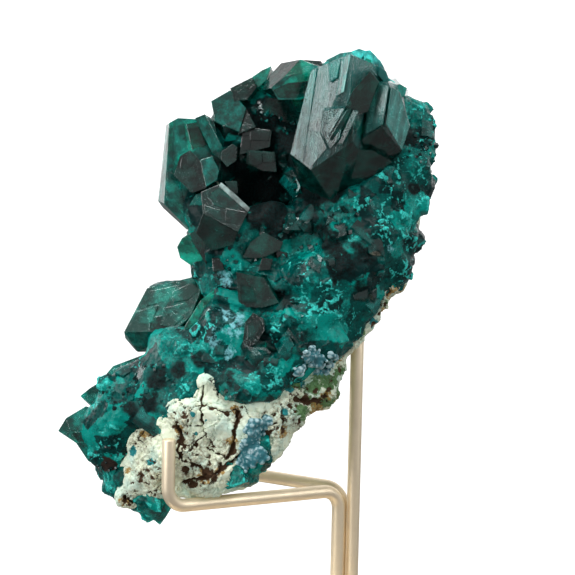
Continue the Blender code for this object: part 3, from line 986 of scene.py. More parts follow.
class Clarity(Enum):
    """How a crystal looks."""

    DARK = CrystalFinish("dark_crystal")
    DEEP = CrystalFinish("deep_crystal", tint=(0.0, 0.38, 0.30), density=1000.0, rough=0.07, shine=0.05)
    TEAL = CrystalFinish("teal_crystal", tint=(0.0, 0.70, 0.58), clear=0.76, density=380.0, rough=0.10,
        veil=(0.02, 0.50, 0.46), veil_weight=0.6, shine=0.26)
    SATIN = CrystalFinish("satin_crystal", tint=(0.12, 0.62, 0.56), clear=0.62, density=300.0,
        rough=0.2, lines=0.4, steps=0.35, veil=(0.20, 0.62, 0.58), veil_weight=0.6, relief=0.0002,
        shine=0.6)
    # The crown colour here is painted light, a brighter turquoise near the top.
    PALE = CrystalFinish("striated_crystal", tint=(0.02, 0.50, 0.46), clear=0.82, density=650.0,
        rough=0.12, lines=0.3, steps=0.35, veil=(0.08, 0.50, 0.48), veil_weight=0.6, relief=0.0002,
        shine=0.35, painted_top_glow=(0.16, 0.84, 0.78))
    MILKY = CrystalFinish("milky_crystal", tint=(0.10, 0.86, 0.78), clear=0.60, density=120.0,
        rough=0.16, lines=0.2, steps=0.6, veil=(0.40, 0.90, 0.86), veil_weight=0.8, relief=0.0002)
    BRIGHT = CrystalFinish("bright_grain", tint=(0.06, 0.92, 0.86), clear=0.25, density=60.0, rough=0.2,
        veil=(0.40, 0.90, 0.86), veil_weight=0.8)
    # Partly light that passes through its clear body, partly a painted glow: its bright emerald tint and
    # veil stand in for light shining out of it.
    GLOW = CrystalFinish("glowing_crystal", tint=(0.0, 0.95, 0.66), clear=0.62, density=120.0,
        rough=0.05, veil=(0.0, 0.80, 0.60), veil_weight=0.8)
    GREY = CrystalFinish("grey_crystal", tint=(0.02, 0.24, 0.20), clear=0.86, density=900.0, rough=0.12,
        steps=0.8, veil=(0.04, 0.11, 0.10), veil_weight=0.5, relief=0.00014, shine=0.38)
    SMOKE = CrystalFinish("smoky_crystal", tint=(0.04, 0.70, 0.56), clear=0.70, density=380.0,
        rough=0.14, steps=0.8, veil=(0.02, 0.16, 0.14), veil_weight=0.7, relief=0.00016, shine=0.6)
    FROST = CrystalFinish("frosted_edge", tint=(0.55, 0.80, 0.76), clear=0.35, density=300.0,
        rough=0.30, veil=(0.80, 0.88, 0.86), veil_weight=0.8)
    SHARD = CrystalFinish("dark_shard", tint=(0.0, 0.26, 0.23), clear=0.75, density=1000.0, rough=0.16,
        shine=0.12)
    CHIP = CrystalFinish("teal_shard", tint=(0.0, 0.45, 0.40), clear=0.70, density=600.0, rough=0.18,
        veil=(0.02, 0.45, 0.42), veil_weight=0.5, shine=0.12)


# Short names of the looks, for the lists of crystals
(DARK, DEEP, TEAL, SATIN, PALE, MILKY, BRIGHT, GLOW,
 GREY, SMOKE, FROST, SHARD, CHIP) = Clarity


# The specimen

# Upward share of a face's direction from which it is a crest, painted as lit, and below which it is a foot,
# painted as shaded
CREST_RISE = 0.45
FOOT_RISE = -0.15

# Width of the worn edges of the large crystals, in metres
EDGE_WIDTH = 0.00007

def centre_of(outline: tuple) -> tuple[float, ...]:
    """Return the mean of some corners, in pixels."""
    return tuple(sum(point[axis] for point in outline) / len(outline) for axis in (0, 1))


@dataclass(frozen=True)
class Facet:
    """A crystal given by the flat face that it shows.

    Attributes:
        name: what the crystal is called.
        outline: corners of the face, in picture pixels.
        back: depth of the face's middle, in millimetres.
        slope: growth of the depth to the right and downwards, as a ratio.
        push: pixels right, pixels down and millimetres back to the hidden end.
        shrink: size of the hidden end beside the face.
        extra: more corners, in pixels and millimetres back.
        clarity: how the crystal looks.
        grain: direction of the growth lines, in pixels right and down.
        crest: how its faces that look up are, where they differ: the light and reflections that fall on
            them, painted into their look.
        foot: how its faces that look down are, where they differ: mostly painted shade, for the little
            light that reaches them.
    """

    name: str
    outline: tuple
    back: float
    slope: tuple
    push: tuple
    shrink: float = 1.0
    extra: tuple = ()
    clarity: Clarity = DARK
    grain: tuple = (0.0, 1.0)
    crest: Clarity | None = None
    foot: Clarity | None = None

    def corners(self) -> list[Vector]:
        """Work out the crystal's corner points.

        Returns:
            The points of the shown face, the hidden end and the rest, in metres.
        """
        middle_across, middle_down = centre_of(self.outline)
        points = []
        for across, down in self.outline:
            right = across - middle_across
            below = down - middle_down
            depth = self.back + (right * self.slope[0] + below * self.slope[1]) * VIEW.mm_per_pixel
            points.append(VIEW.point(across, down, depth))
            far_across = middle_across + right * self.shrink + self.push[0]
            far_down = middle_down + below * self.shrink + self.push[1]
            points.append(VIEW.point(far_across, far_down, depth + self.push[2]))
        points.extend(VIEW.point(*place) for place in self.extra)
        return points

    def build(self) -> Object:
        """Model the crystal.

        Returns:
            The crystal, with rounded edges and its finish.
        """
        obj = Bench.hull("crystal_" + self.name.replace(" ", "_"), self.corners())
        Bench.ease_edges(obj, EDGE_WIDTH, 2, 12.0)
        Bench.flat_faces(obj)
        right, up, _ = VIEW.axes()
        Bench.lay_coordinates(obj, right * self.grain[0] - up * self.grain[1], len(self.name) * 3.7)
        # Faces that look up take the crest look and faces that look down take the foot look: painted light
        # and shade by where each face turns.
        for clarity in (self.clarity, self.crest or self.clarity, self.foot or self.clarity):
            obj.data.materials.append(clarity.value.material())
        for polygon in obj.data.polygons:
            rise = polygon.normal.dot(up)
            polygon.material_index = 1 if rise > CREST_RISE else 2 if rise < FOOT_RISE else 0
        return obj


CRYSTALS = (
    # Left group
    Facet("left plate",
        ((169, 123), (178, 118), (214, 120), (222, 160), (214, 200), (188, 228), (164, 204)), -1.5,
        (0.12, 0.0), (4, 0, 8.0), 0.94,
        ((158, 201, 1.5), (166, 125, 0.5), (163, 208, 1.6), (187, 230, 0.8)), TEAL),
    Facet("left plate block", ((180, 156), (190, 150), (200, 160), (207, 188), (192, 193), (174, 175)),
        -5.0, (-0.12, -0.15), (4, 4, 5.0), clarity=GREY),
    Facet("left plate foot", ((196, 194), (214, 190), (214, 206), (190, 227), (184, 214)), -4.0,
        (-0.3, 0.2), (4, -3, 5.0), clarity=TEAL),
    Facet("small teal", ((200, 160), (212, 156), (219, 170), (217, 180), (206, 187)), -6.2, (-0.1, -0.2),
        (4, 5, 6.0), clarity=TEAL),
    Facet("teal rod", ((195, 118), (205, 114), (223, 148), (221, 160), (212, 153)), -3.2, (0.3, 0.0),
        (5, 3, 5.0), clarity=TEAL, grain=(0.5, 1.0)),
    Facet("six sided end", ((221, 152), (232, 144), (237, 147), (236, 161), (227, 167), (221, 160)),
        -5.0, (0.15, -0.15), (4, -2, 8.0), clarity=GREY),
    # Top left edge
    Facet("top left", ((211, 101), (230, 90), (246, 108), (239, 132), (215, 122)), -1.0, (0.05, -0.16),
        (8, 12, 8.0), clarity=TEAL),
    Facet("top left upper", ((230, 88), (252, 77), (257, 87), (247, 100), (234, 101)), 0.0, (0.2, -0.4),
        (5, 10, 8.0), clarity=GREY),
    Facet("top left point", ((252, 77), (262, 70), (271, 66), (267, 80), (258, 88)), 1.5, (0.0, -0.2),
        (4, 9, 6.0), clarity=TEAL),
    Facet("splinter", ((246, 108), (256, 127), (242, 128), (238, 134)), -1.0, (-0.2, -0.3), (3, 8, 6.0),
        clarity=GREY),
    # Blocks in the hollow
    Facet("upper block", ((243, 127), (272, 130), (270, 147), (239, 155)), -0.5, (0.05, -0.12),
        (2, 6, 8.0), clarity=GREY),
    Facet("lower block", ((247, 150), (275, 152), (277, 172), (262, 171), (246, 163)), -1.8, (0.1, 0.05),
        (2, 4, 8.0)),
    Facet("block knob", ((249, 152), (261, 153), (262, 163), (256, 167), (248, 163)), -2.9, (0.0, 0.0),
        (0, 1, 3.0), clarity=GREY),
    Facet("block underside", ((238, 155), (258, 157), (262, 171), (241, 174)), 0.4, (0.0, 0.7),
        (1, 2, 7.0)),
    # Top middle
    # Its crest and foot looks are painted light and shade for its upward and downward faces.
    Facet("lens crystal",
        ((271, 88), (284, 77), (308, 74), (324, 68), (322, 92), (300, 100), (278, 100)), -2.6, (0.1, 0.1),
        (6, -4, 9.0), 0.9,
        ((262, 90, -0.2), (269, 76, 0.6), (281, 63, 1.2), (300, 59.5, -2.0), (321, 61, -1.6)),
        TEAL, crest=GREY, foot=DARK),
    Facet("lens foot", ((268, 98), (300, 98), (312, 116), (285, 124), (262, 112)), 0.6, (0.1, 0.5),
        (0, -4, 7.0)),
    # Large crystal on the right
    # Its crest and foot looks are painted light and shade for its upward and downward faces.
    Facet("great crystal", ((312, 70), (349, 54), (311, 170), (290, 154)), -8.4, (-0.5, -0.04),
        (14, 3, 10.0), 1.0,
        ((384, 68, -5.0), (353, 142, -9.6), (334, 205, -4.4), (374, 172, -3.0), (301, 186, -3.6)),
        PALE, (-0.2, 1.0), MILKY, DEEP),
    Facet("great inner", ((352, 92), (370, 71), (379, 82), (368, 112), (341, 118)), -10.6, (0.1, 0.1),
        (2, -2, 6.0), clarity=DEEP, grain=(-0.2, 1.0)),
    Facet("great lower strip", ((323, 110), (344, 108), (340, 138), (330, 149), (320, 128)), -13.2,
        (-0.3, 0.05), (3, -4, 6.0), clarity=PALE, grain=(-0.2, 1.0)),
    Facet("great top", ((326, 60), (340, 53), (362, 50), (372, 53), (384, 68), (350, 80)), -4.0,
        (0.1, -0.35), (2, 4, 6.0), clarity=MILKY, grain=(-0.2, 1.0)),
    # Its crest and foot looks are painted light and shade for its upward and downward faces.
    Facet("right crystal", ((388, 82), (381, 127), (362, 140), (372, 82)), -8.4, (-0.4, -0.05),
        (8, -4, 9.0), 1.0,
        ((402, 86, -3.6), (408, 124, -3.6), (402, 151, -4.2), (372, 174, -3.4), (394, 161, -3.0)),
        PALE, (-0.15, 1.0), TEAL, DEEP),
    Facet("right hexagon", ((393, 85), (400, 84), (407, 88), (405, 96), (396, 98)), -5.2, (0.2, -0.2),
        (2, 3, 5.0), clarity=TEAL),
    Facet("right underside", ((358, 150), (372, 150), (392, 162), (370, 176), (356, 188), (342, 200)),
        -5.6, (0.2, 0.6), (4, -4, 6.0), clarity=DEEP),
    # Front middle
    Facet("diamond", ((220, 184), (249, 210), (238, 232), (203, 213), (201, 192)), -11.5, (-0.1, -0.28),
        (-1, 5, 12.0), clarity=GREY),
    Facet("diamond bevel", ((221, 182), (234, 193), (250, 208), (248, 212), (232, 198), (219, 186)),
        -11.7, (-0.5, 0.2), (-1, 3, 1.6), 0.9, clarity=FROST),
    Facet("diamond step", ((203, 213), (238, 232), (233, 245), (211, 251), (196, 233)), -9.6,
        (0.0, 0.45), (3, 0, 9.0)),
    Facet("brown back", ((224, 181), (237, 181), (238, 193), (232, 194)), -7.0, (0.1, 0.0), (1, 3, 5.0),
        clarity=GREY),
    Facet("emerald", ((177, 247), (182, 238), (190, 233), (205, 263), (193, 267), (180, 258)), -2.6,
        (-0.3, 0.3), (8, -4, 7.0), clarity=GLOW),
    Facet("emerald shoulder", ((190, 233), (204, 228), (214, 248), (206, 264), (192, 242)), -4.8,
        (-0.1, 0.1), (4, 0, 6.0)),
    Facet("teal middle", ((264, 232), (283, 242), (280, 250), (263, 258), (242, 258), (250, 242)), -7.0,
        (0.05, -0.12), (2, 5, 8.0)),
    Facet("brown middle", ((262, 258), (273, 259), (270, 270), (258, 271)), -7.6, (0.1, 0.1),
        (1, 2, 6.0), clarity=GREY),
    Facet("small wedge", ((276, 250), (288, 253), (285, 265), (277, 266)), -5.0, (0.2, 0.1), (2, 2, 5.0)),
    Facet("middle front", ((236, 272), (250, 279), (264, 278), (279, 303), (262, 308), (239, 307)), -8.4,
        (-0.15, 0.1), (4, -2, 8.0), 1.0, ((283, 291, -3.5), (277, 264, -3.0))),
    Facet("grey chip", ((212, 258), (222, 257), (224, 270), (213, 272)), -6.6, (-0.1, 0.0), (2, 2, 5.0),
        clarity=GREY),
    # Left crystal and what lies below it
    # Its foot look is painted for the light on its downward faces.
    Facet("left crystal", ((147, 288), (196, 276), (201, 291), (191, 316), (174, 332), (124, 332)), -1.0,
        (-0.12, -0.35), (12, 19, 9.0), 1.0, ((138, 352, 2.6), (125, 338, 1.0), (158, 346, 2.0)),
        SMOKE, (0.5, -0.3), foot=TEAL),
    Facet("turquoise",
        ((201, 300), (215, 289), (231, 291), (218, 303), (207, 318), (204, 345), (190, 350), (179, 341),
         (186, 324)),
        -5.0, (0.02, 0.05), (6, 2, 7.0), clarity=GLOW),
    Facet("turquoise shade", ((214, 300), (232, 293), (241, 300), (238, 320), (216, 323), (208, 316)),
        -4.6, (0.1, 0.2), (1, 0, 6.0)),
    Facet("grey middle", ((245, 322), (253, 313), (264, 319), (265, 330), (256, 344), (242, 349)), -10.4,
        (-0.25, -0.1), (6, 4, 8.0), clarity=GREY),
    Facet("grey middle foot", ((242, 349), (264, 341), (277, 349), (275, 359), (246, 357)), -9.8,
        (0.0, 0.6), (2, 0, 8.0)),
    Facet("striped", ((116, 375), (143, 366), (146, 383), (119, 386)), -4.6, (-0.15, -0.3), (2, 6, 6.0),
        clarity=PALE, grain=(1.0, -0.2)),
    Facet("tip", ((58, 431), (66, 418), (86, 406), (103, 420), (99, 443), (76, 443)), -3.0, (-0.2, 0.0),
        (14, 3, 8.0), 0.9, clarity=TEAL),
    Facet("tip foot", ((76, 443), (100, 443), (105, 458), (99, 467), (88, 461)), -3.0, (-0.2, 0.4),
        (10, -3, 7.0), clarity=TEAL),
    Facet("edge upper", ((80, 396), (90, 388), (103, 380), (112, 394), (94, 408)), -2.6, (-0.3, -0.3),
        (6, 6, 6.0), clarity=TEAL),
    Facet("edge ridge", ((101, 380), (113, 366), (137, 359), (150, 352), (152, 366), (119, 378)), -1.2,
        (-0.1, -0.5), (5, 8, 7.0), clarity=TEAL),
    Facet("lowest tip", ((143, 510), (150, 517), (160, 525), (166, 517), (172, 507), (158, 502)), -6.0,
        (0.0, 0.1), (1, -4, 5.0), clarity=TEAL),
)

# Small bright crystals on the crest of the large one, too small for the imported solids
CREST_GRAINS = (
    Facet("crest grain 1", ((352, 51), (359, 48.5), (366, 51), (362, 58), (353, 57)), -5.6, (0.1, -0.4),
        (2, 3, 3.0), clarity=BRIGHT),
    Facet("crest grain 2", ((363, 51), (370, 50), (377, 57), (372, 64), (364, 60)), -5.9, (0.3, -0.2),
        (2, 3, 3.0), clarity=BRIGHT),
    Facet("crest grain 3", ((373, 56), (380, 60), (384, 67), (379, 73), (371, 66)), -6.0, (0.4, 0.0),
        (1, 2, 3.0), clarity=BRIGHT),
    Facet("crest grain 4", ((380, 66), (386, 71), (389, 79), (384, 82), (378, 75)), -6.0, (0.3, 0.2),
        (1, 2, 3.0), clarity=BRIGHT),
    Facet("crest grain 5", ((366, 58), (371, 60), (372, 66), (367, 69), (363, 64)), -6.6, (0.1, 0.3),
        (1, 1, 2.0), clarity=GLOW),
    Facet("crest grain 6", ((387, 77), (395, 82), (396, 88), (390, 90), (385, 84)), -5.4, (0.3, -0.2),
        (1, 2, 3.0), clarity=BRIGHT),
)


@dataclass(frozen=True)
class Plate:
    """A thin growth plate on the face of a crystal.

    Attributes:
        parent: name of the crystal.
        outline: corners of the plate, in picture pixels.
        lift: how far it stands out, in millimetres.
        tilt: slope added to the face's own, to the right and downwards.
        clarity: how it looks.
        grain: direction of the growth lines, in pixels right and down.
        depth: how far it reaches into the crystal, in millimetres.
    """

    parent: str
    outline: tuple
    lift: float = 0.15
    tilt: tuple = (0.0, 0.0)
    clarity: Clarity = GREY
    grain: tuple = (0.0, 1.0)
    depth: float = 1.6

    def facet(self, number: int) -> Facet:
        """Return the plate as a facet that lies on its parent's face.

        Args:
            number: place in the list of plates, for its name.

        Returns:
            The facet.
        """
        parent = next(facet for facet in CRYSTALS if facet.name == self.parent)
        middle = centre_of(self.outline)
        own = centre_of(parent.outline)
        rise = (middle[0] - own[0]) * parent.slope[0] + (middle[1] - own[1]) * parent.slope[1]
        back = parent.back + rise * VIEW.mm_per_pixel - self.lift
        slope = (parent.slope[0] + self.tilt[0], parent.slope[1] + self.tilt[1])
        push = (0.0, 0.0, self.depth)
        return Facet(
            "plate %d" % number, self.outline, back, slope, push, 0.96, (), self.clarity, self.grain)


PLATES = (
    # Prism faces of the large crystal
    Plate("great crystal", ((311, 71), (317, 68), (303, 163), (290, 154)), 0.12, (-0.10, 0.0),
        PALE, (-0.2, 1)),
    Plate("great crystal", ((328, 63), (341, 58), (337, 78), (329, 82)), 0.5, (0.2, -0.1), PALE,
        (-0.2, 1)),
    Plate("great crystal", ((344, 56), (351, 54), (344, 92), (336, 96)), 0.16, (0.08, 0.0),
        MILKY, (-0.2, 1)),
    Plate("great top", ((344, 58), (362, 53), (372, 58), (368, 68), (352, 74)), 0.2, (0.1, 0.05),
        PALE, (-0.2, 1)),
    Plate("great crystal", ((308, 130), (320, 132), (327, 148), (311, 167), (304, 161)), 0.2,
        (0.13, 0.07), PALE, (-0.2, 1)),
    Plate("great lower strip", ((340, 108), (345, 108), (329, 136), (323, 130)), 0.3, (-0.1, 0.0),
        PALE, (-0.4, 1)),
    Plate("great lower strip", ((347, 109), (352, 110), (334, 143), (329, 139)), 0.1, (0.3, 0.2),
        DARK, (-0.4, 1)),
    Plate("great lower strip", ((353, 110), (359, 111), (343, 144), (337, 145)), 0.0, (-0.1, 0.1),
        PALE, (-0.4, 1)),
    Plate("right crystal", ((379, 84), (389, 86), (383, 124), (372, 131), (365, 134), (367, 112)), 0.45,
        (-0.02, 0.05), SATIN, (-0.2, 1)),
    Plate("right crystal", ((391, 87), (400, 92), (410, 126), (402, 150), (386, 124)), -0.6, (0.7, 0.05),
        SATIN, (-0.2, 1)),
    # Steps on the left crystal
    Plate("left crystal", ((150, 291), (178, 285), (170, 300), (146, 306)), 0.12, (0.05, 0.04),
        SMOKE, (0.5, -0.3)),
    Plate("left crystal", ((172, 292), (195, 281), (199, 291), (188, 300), (173, 302)), 0.2, (0.1, 0.06),
        SMOKE, (0.5, -0.3)),
    Plate("left crystal", ((136, 312), (158, 305), (152, 322), (131, 330)), 0.15, (-0.03, 0.08),
        SMOKE, (0.5, -0.3)),
    Plate("left crystal", ((163, 308), (184, 303), (188, 314), (172, 327), (160, 325)), 0.18,
        (0.06, -0.04), SMOKE, (0.5, -0.3)),
    Plate("left crystal", ((150, 318), (163, 315), (168, 329), (150, 331)), 0.1, (-0.05, 0.05),
        DARK),
    # Steps on the diamond
    Plate("diamond", ((219, 187), (240, 202), (235, 212), (214, 205), (207, 197)), 0.12, (0.02, 0.04),
        DARK),
    Plate("diamond", ((226, 208), (246, 212), (238, 226), (225, 221)), 0.15, (0.06, 0.1)),
    Plate("diamond", ((204, 205), (220, 210), (222, 220), (206, 216)), 0.15, (-0.05, 0.08)),
    # Steps on the blocks of the hollow
    Plate("upper block", ((250, 130), (270, 131), (269, 141), (250, 140)), 0.15, (0.04, 0.02)),
    Plate("upper block", ((242, 136), (252, 135), (250, 150), (240, 152)), 0.1, (-0.04, 0.03)),
    Plate("lower block", ((262, 152), (274, 153), (275, 162), (263, 163)), 0.15, (0.05, 0.04),
        GREY),
    # Steps on the lower left crystals
    Plate("tip", ((66, 420), (84, 410), (97, 420), (90, 430), (70, 431)), 0.2, (0.08, -0.15),
        TEAL),
    Plate("tip", ((72, 433), (92, 431), (98, 441), (78, 442)), 0.15, (0.0, 0.2), DARK),
    Plate("edge upper", ((84, 397), (92, 390), (103, 384), (108, 392), (95, 404)), 0.15, (0.1, 0.1),
        TEAL),
    Plate("edge ridge", ((112, 370), (134, 361), (146, 356), (148, 364), (120, 375)), 0.15, (0.05, 0.1),
        TEAL),
    # Steps elsewhere
    Plate("lens crystal", ((273, 90), (288, 83), (320, 80), (320, 91), (300, 98), (279, 98)), 0.12,
        (0.0, 0.08), DARK),
    Plate("left plate block", ((181, 158), (190, 153), (196, 160), (190, 168), (180, 168)), 0.15,
        (0.05, 0.05)),
    Plate("left plate", ((172, 128), (184, 123), (188, 150), (174, 158)), 0.12, (0.05, 0.02),
        TEAL, (0.1, 1)),
    Plate("left plate", ((167, 170), (180, 178), (184, 205), (166, 200)), 0.12, (0.03, -0.03),
        TEAL, (0.1, 1)),
    Plate("left plate", ((186, 124), (198, 122), (206, 145), (192, 150)), 0.15, (-0.06, 0.03),
        DARK, (0.1, 1)),
    Plate("middle front", ((240, 284), (252, 286), (258, 302), (241, 304)), 0.15, (0.05, 0.05),
        DARK),
    Plate("grey middle", ((247, 325), (254, 318), (262, 323), (257, 336), (247, 338)), 0.15,
        (0.05, 0.02)),
    Plate("turquoise", ((203, 303), (214, 293), (224, 294), (210, 306), (203, 316)), 0.2, (0.05, 0.05),
        GLOW),
    Plate("turquoise", ((190, 330), (202, 322), (202, 340), (190, 346)), 0.15, (0.0, 0.08), TEAL),
)


CRUST_LUMPS = (
    # Upper rim and the wall of the hollow
    ((345, 90), 2.5, 5.3), ((391, 114), 1.5, 4.2), ((410, 122), 2.5, 3.2), ((417, 114), 2.2, 2.3),
    ((419, 128), 2.0, 2.6), ((418, 150), 1.5, 2.7), ((415, 180), 0.5, 3.1), ((411, 201), 0.5, 2.8),
    ((367, 86), 1.6, 3.4), ((362, 72), 1.4, 3.0), ((405, 165), 0.0, 4.2), ((385, 190), -1.0, 4.8),
    ((352, 215), -1.8, 5.2), ((400, 205), 0.0, 4.0), ((322, 215), -1.0, 3.8), ((305, 228), -0.4, 3.8),
    ((240, 118), 4.6, 3.8), ((270, 115), 4.6, 4.0), ((222, 140), 3.4, 4.2), ((200, 180), 2.6, 4.4),
    ((208, 215), 0.0, 4.2), ((238, 160), 4.6, 4.4), ((268, 190), 9.0, 6.0), ((300, 150), 5.4, 6.0),
    ((330, 180), 2.0, 6.0),
    # Right hand rubble down to the rounded mass
    ((372, 235), -2.0, 5.6), ((399, 240), 0.2, 3.1), ((386, 267), -0.4, 4.0), ((350, 262), -3.2, 5.6),
    ((306, 280), -4.6, 4.2), ((325, 300), -3.6, 4.6), ((358, 295), -1.6, 4.2), ((342, 322), -1.6, 3.5),
    ((265, 232), -0.6, 5.0), ((235, 250), -2.4, 5.0), ((205, 274), -1.6, 2.2), ((214, 286), -2.6, 2.6),
    ((262, 290), -3.0, 5.0), ((290, 325), -5.0, 5.0), ((322, 345), -3.6, 4.0), ((290, 360), -6.0, 4.2),
    # Left hand slope down to the tip
    ((228, 330), -5.0, 5.2), ((258, 365), -6.4, 4.4), ((205, 360), -5.2, 5.0), ((172, 306), 3.4, 4.0),
    ((180, 358), -3.4, 5.0), ((160, 378), -3.8, 4.6), ((150, 405), -4.6, 4.6), ((125, 398), -2.4, 4.2),
    ((170, 400), -6.6, 3.4), ((187, 391), -9.0, 2.3), ((176, 414), -8.6, 1.9), ((231, 385), -9.6, 2.5),
    ((250, 390), -9.8, 2.5), ((270, 386), -9.0, 2.6), ((120, 425), -2.6, 4.4), ((98, 425), -1.0, 3.2),
    ((111, 454), -1.4, 3.1), ((119, 477), -1.6, 2.7), ((113, 487), -1.6, 1.8), ((130, 491), -2.6, 2.2),
    ((140, 498), -3.2, 2.5), ((150, 503), -4.4, 2.4),
    # Blue green crust at the lower edge of the matrix
    ((254, 452), -8.2, 2.9), ((243, 472), -6.6, 2.4), ((258, 440), -8.0, 2.3),
)

MATRIX_LUMPS = (
    # Behind the upper cluster
    ((330, 120), 12.0, 8.0), ((380, 150), 11.0, 7.4), ((280, 130), 13.0, 7.0), ((240, 170), 12.0, 6.4),
    ((300, 200), 15.0, 8.0), ((370, 210), 9.6, 8.0), ((396, 226), 6.4, 3.8), ((411, 226), 2.8, 1.4),
    # Middle
    ((330, 270), 9.0, 8.4), ((260, 260), 10.0, 8.0), ((380, 280), 4.4, 3.8), ((392, 283), -1.4, 1.9),
    ((383, 299), -1.4, 1.7), ((373, 313), -0.6, 1.6), ((366, 322), -0.6, 1.4), ((232, 300), 9.0, 5.6),
    ((290, 330), 6.0, 8.4), ((345, 328), 2.4, 3.3), ((350, 340), -1.2, 1.9), ((240, 350), 5.0, 8.0),
    ((190, 370), 5.0, 6.6),
    # Pale front face at the bottom
    ((210, 420), -4.0, 7.6), ((245, 425), -4.6, 6.8), ((280, 404), -4.2, 5.3), ((309, 387), -2.6, 4.1),
    ((322, 386), 1.0, 3.0), ((333, 366), -0.4, 2.6), ((204, 386), -8.0, 2.4), ((205, 379), -9.4, 1.4),
    ((188, 412), -7.4, 4.2), ((178, 450), -5.0, 6.0), ((222, 455), -4.4, 6.4), ((200, 478), -4.0, 4.2),
    ((257, 434), -3.6, 3.4), ((140, 437), -5.4, 2.4), ((140, 474), -3.8, 3.6), ((160, 488), -4.0, 2.8),
    ((129, 498), -4.6, 2.0),
    # Lower back, where the rear arm carries it
    ((160, 430), 3.0, 6.4), ((210, 430), 7.0, 7.6), ((246, 412), 6.0, 6.0), ((220, 468), 2.6, 4.4),
    ((180, 455), 7.0, 6.4), ((215, 455), 10.0, 5.6), ((196, 462), 11.0, 4.6), ((245, 440), 8.0, 4.6),
    ((168, 436), 10.0, 5.0), ((290, 250), 12.0, 7.4), ((340, 170), 12.0, 8.4), ((270, 180), 13.0, 7.6),
)

# Middles and radii of the dark green parts of the crust, and of the painted shade in its large hollow
DARK_PARTS = (
    (270, 205, 30), (290, 150, 44), (255, 185, 36), (312, 196, 22), (230, 380, 12), (200, 360, 10),
    (150, 400, 14), (300, 340, 12), (360, 250, 14), (330, 240, 20), (250, 250, 12), (155, 380, 12),
    (300, 120, 34), (260, 120, 30), (330, 190, 24), (285, 175, 28), (345, 265, 18), (265, 215, 24),
    (240, 190, 20), (360, 290, 12), (255, 350, 14), (130, 410, 10), (180, 372, 10), (275, 300, 12),
    (395, 150, 8), (412, 140, 7), (415, 190, 7),
)


@dataclass(frozen=True)
class LumpSkin:
    """A rough skin over round lumps.

    Attributes:
        lumps: picture place, depth and radius of each, in pixels and millimetres.
        voxel: size of the skin's mesh, in millimetres.
        coarse: size of its large bumps, in millimetres.
        rough: height of the large bumps, in millimetres.
        smoothing: rounds of smoothing between the lumps.
    """

    lumps: tuple
    voxel: float
    coarse: float = 5.0
    rough: float = 1.1
    smoothing: int = 8

    def build(self, name: str) -> Object:
        """Model the skin.

        Args:
            name: name of the object.

        Returns:
            A closed, even mesh.
        """
        balls = []
        for (across, down), back, radius in self.lumps:
            Bench.clear_selection()
            bpy.ops.mesh.primitive_ico_sphere_add(
                subdivisions=3, radius=radius * MM, location=VIEW.point(across, down, back))
            balls.append(bpy.context.object)
        obj = Bench.join(balls, name)
        Bench.modify(obj, "REMESH", mode="VOXEL", voxel_size=0.75 * MM)
        Bench.modify(obj, "SMOOTH", factor=0.5, iterations=self.smoothing)
        places = Bench.places(obj)
        ripple = Field.fractal(places, self.coarse, 3)
        Bench.move_to(obj, places + Bench.normals(obj) * (ripple * self.rough * MM)[:, None])
        Bench.modify(obj, "REMESH", mode="VOXEL", voxel_size=self.voxel * MM)
        return obj


@dataclass(frozen=True)
class Block:
    """One angular block.

    Attributes:
        middle: its middle point, in metres.
        corners: its corner points, in metres.
        tone: its own value from 0 to 1, for its colour.
    """

    middle: Vector
    corners: tuple[Vector, ...]
    tone: float


def random_turn(draw: random.Random, normal: Vector, lean: float) -> tuple[Vector, Matrix]:
    """Draw how a piece stands on a face.

    Args:
        draw: the source of random values.
        normal: the face's direction.
        lean: how far the piece may lean away from it.

    Returns:
        The piece's own direction, and the turn that lays it along that.
    """
    aside = Vector((draw.uniform(-1, 1), draw.uniform(-1, 1), draw.uniform(-1, 1)))
    heading = (normal + aside * lean).normalized()
    spin = Matrix.Rotation(draw.uniform(0, math.pi), 3, "Z")
    return heading, heading.to_track_quat("Z", "X").to_matrix() @ spin


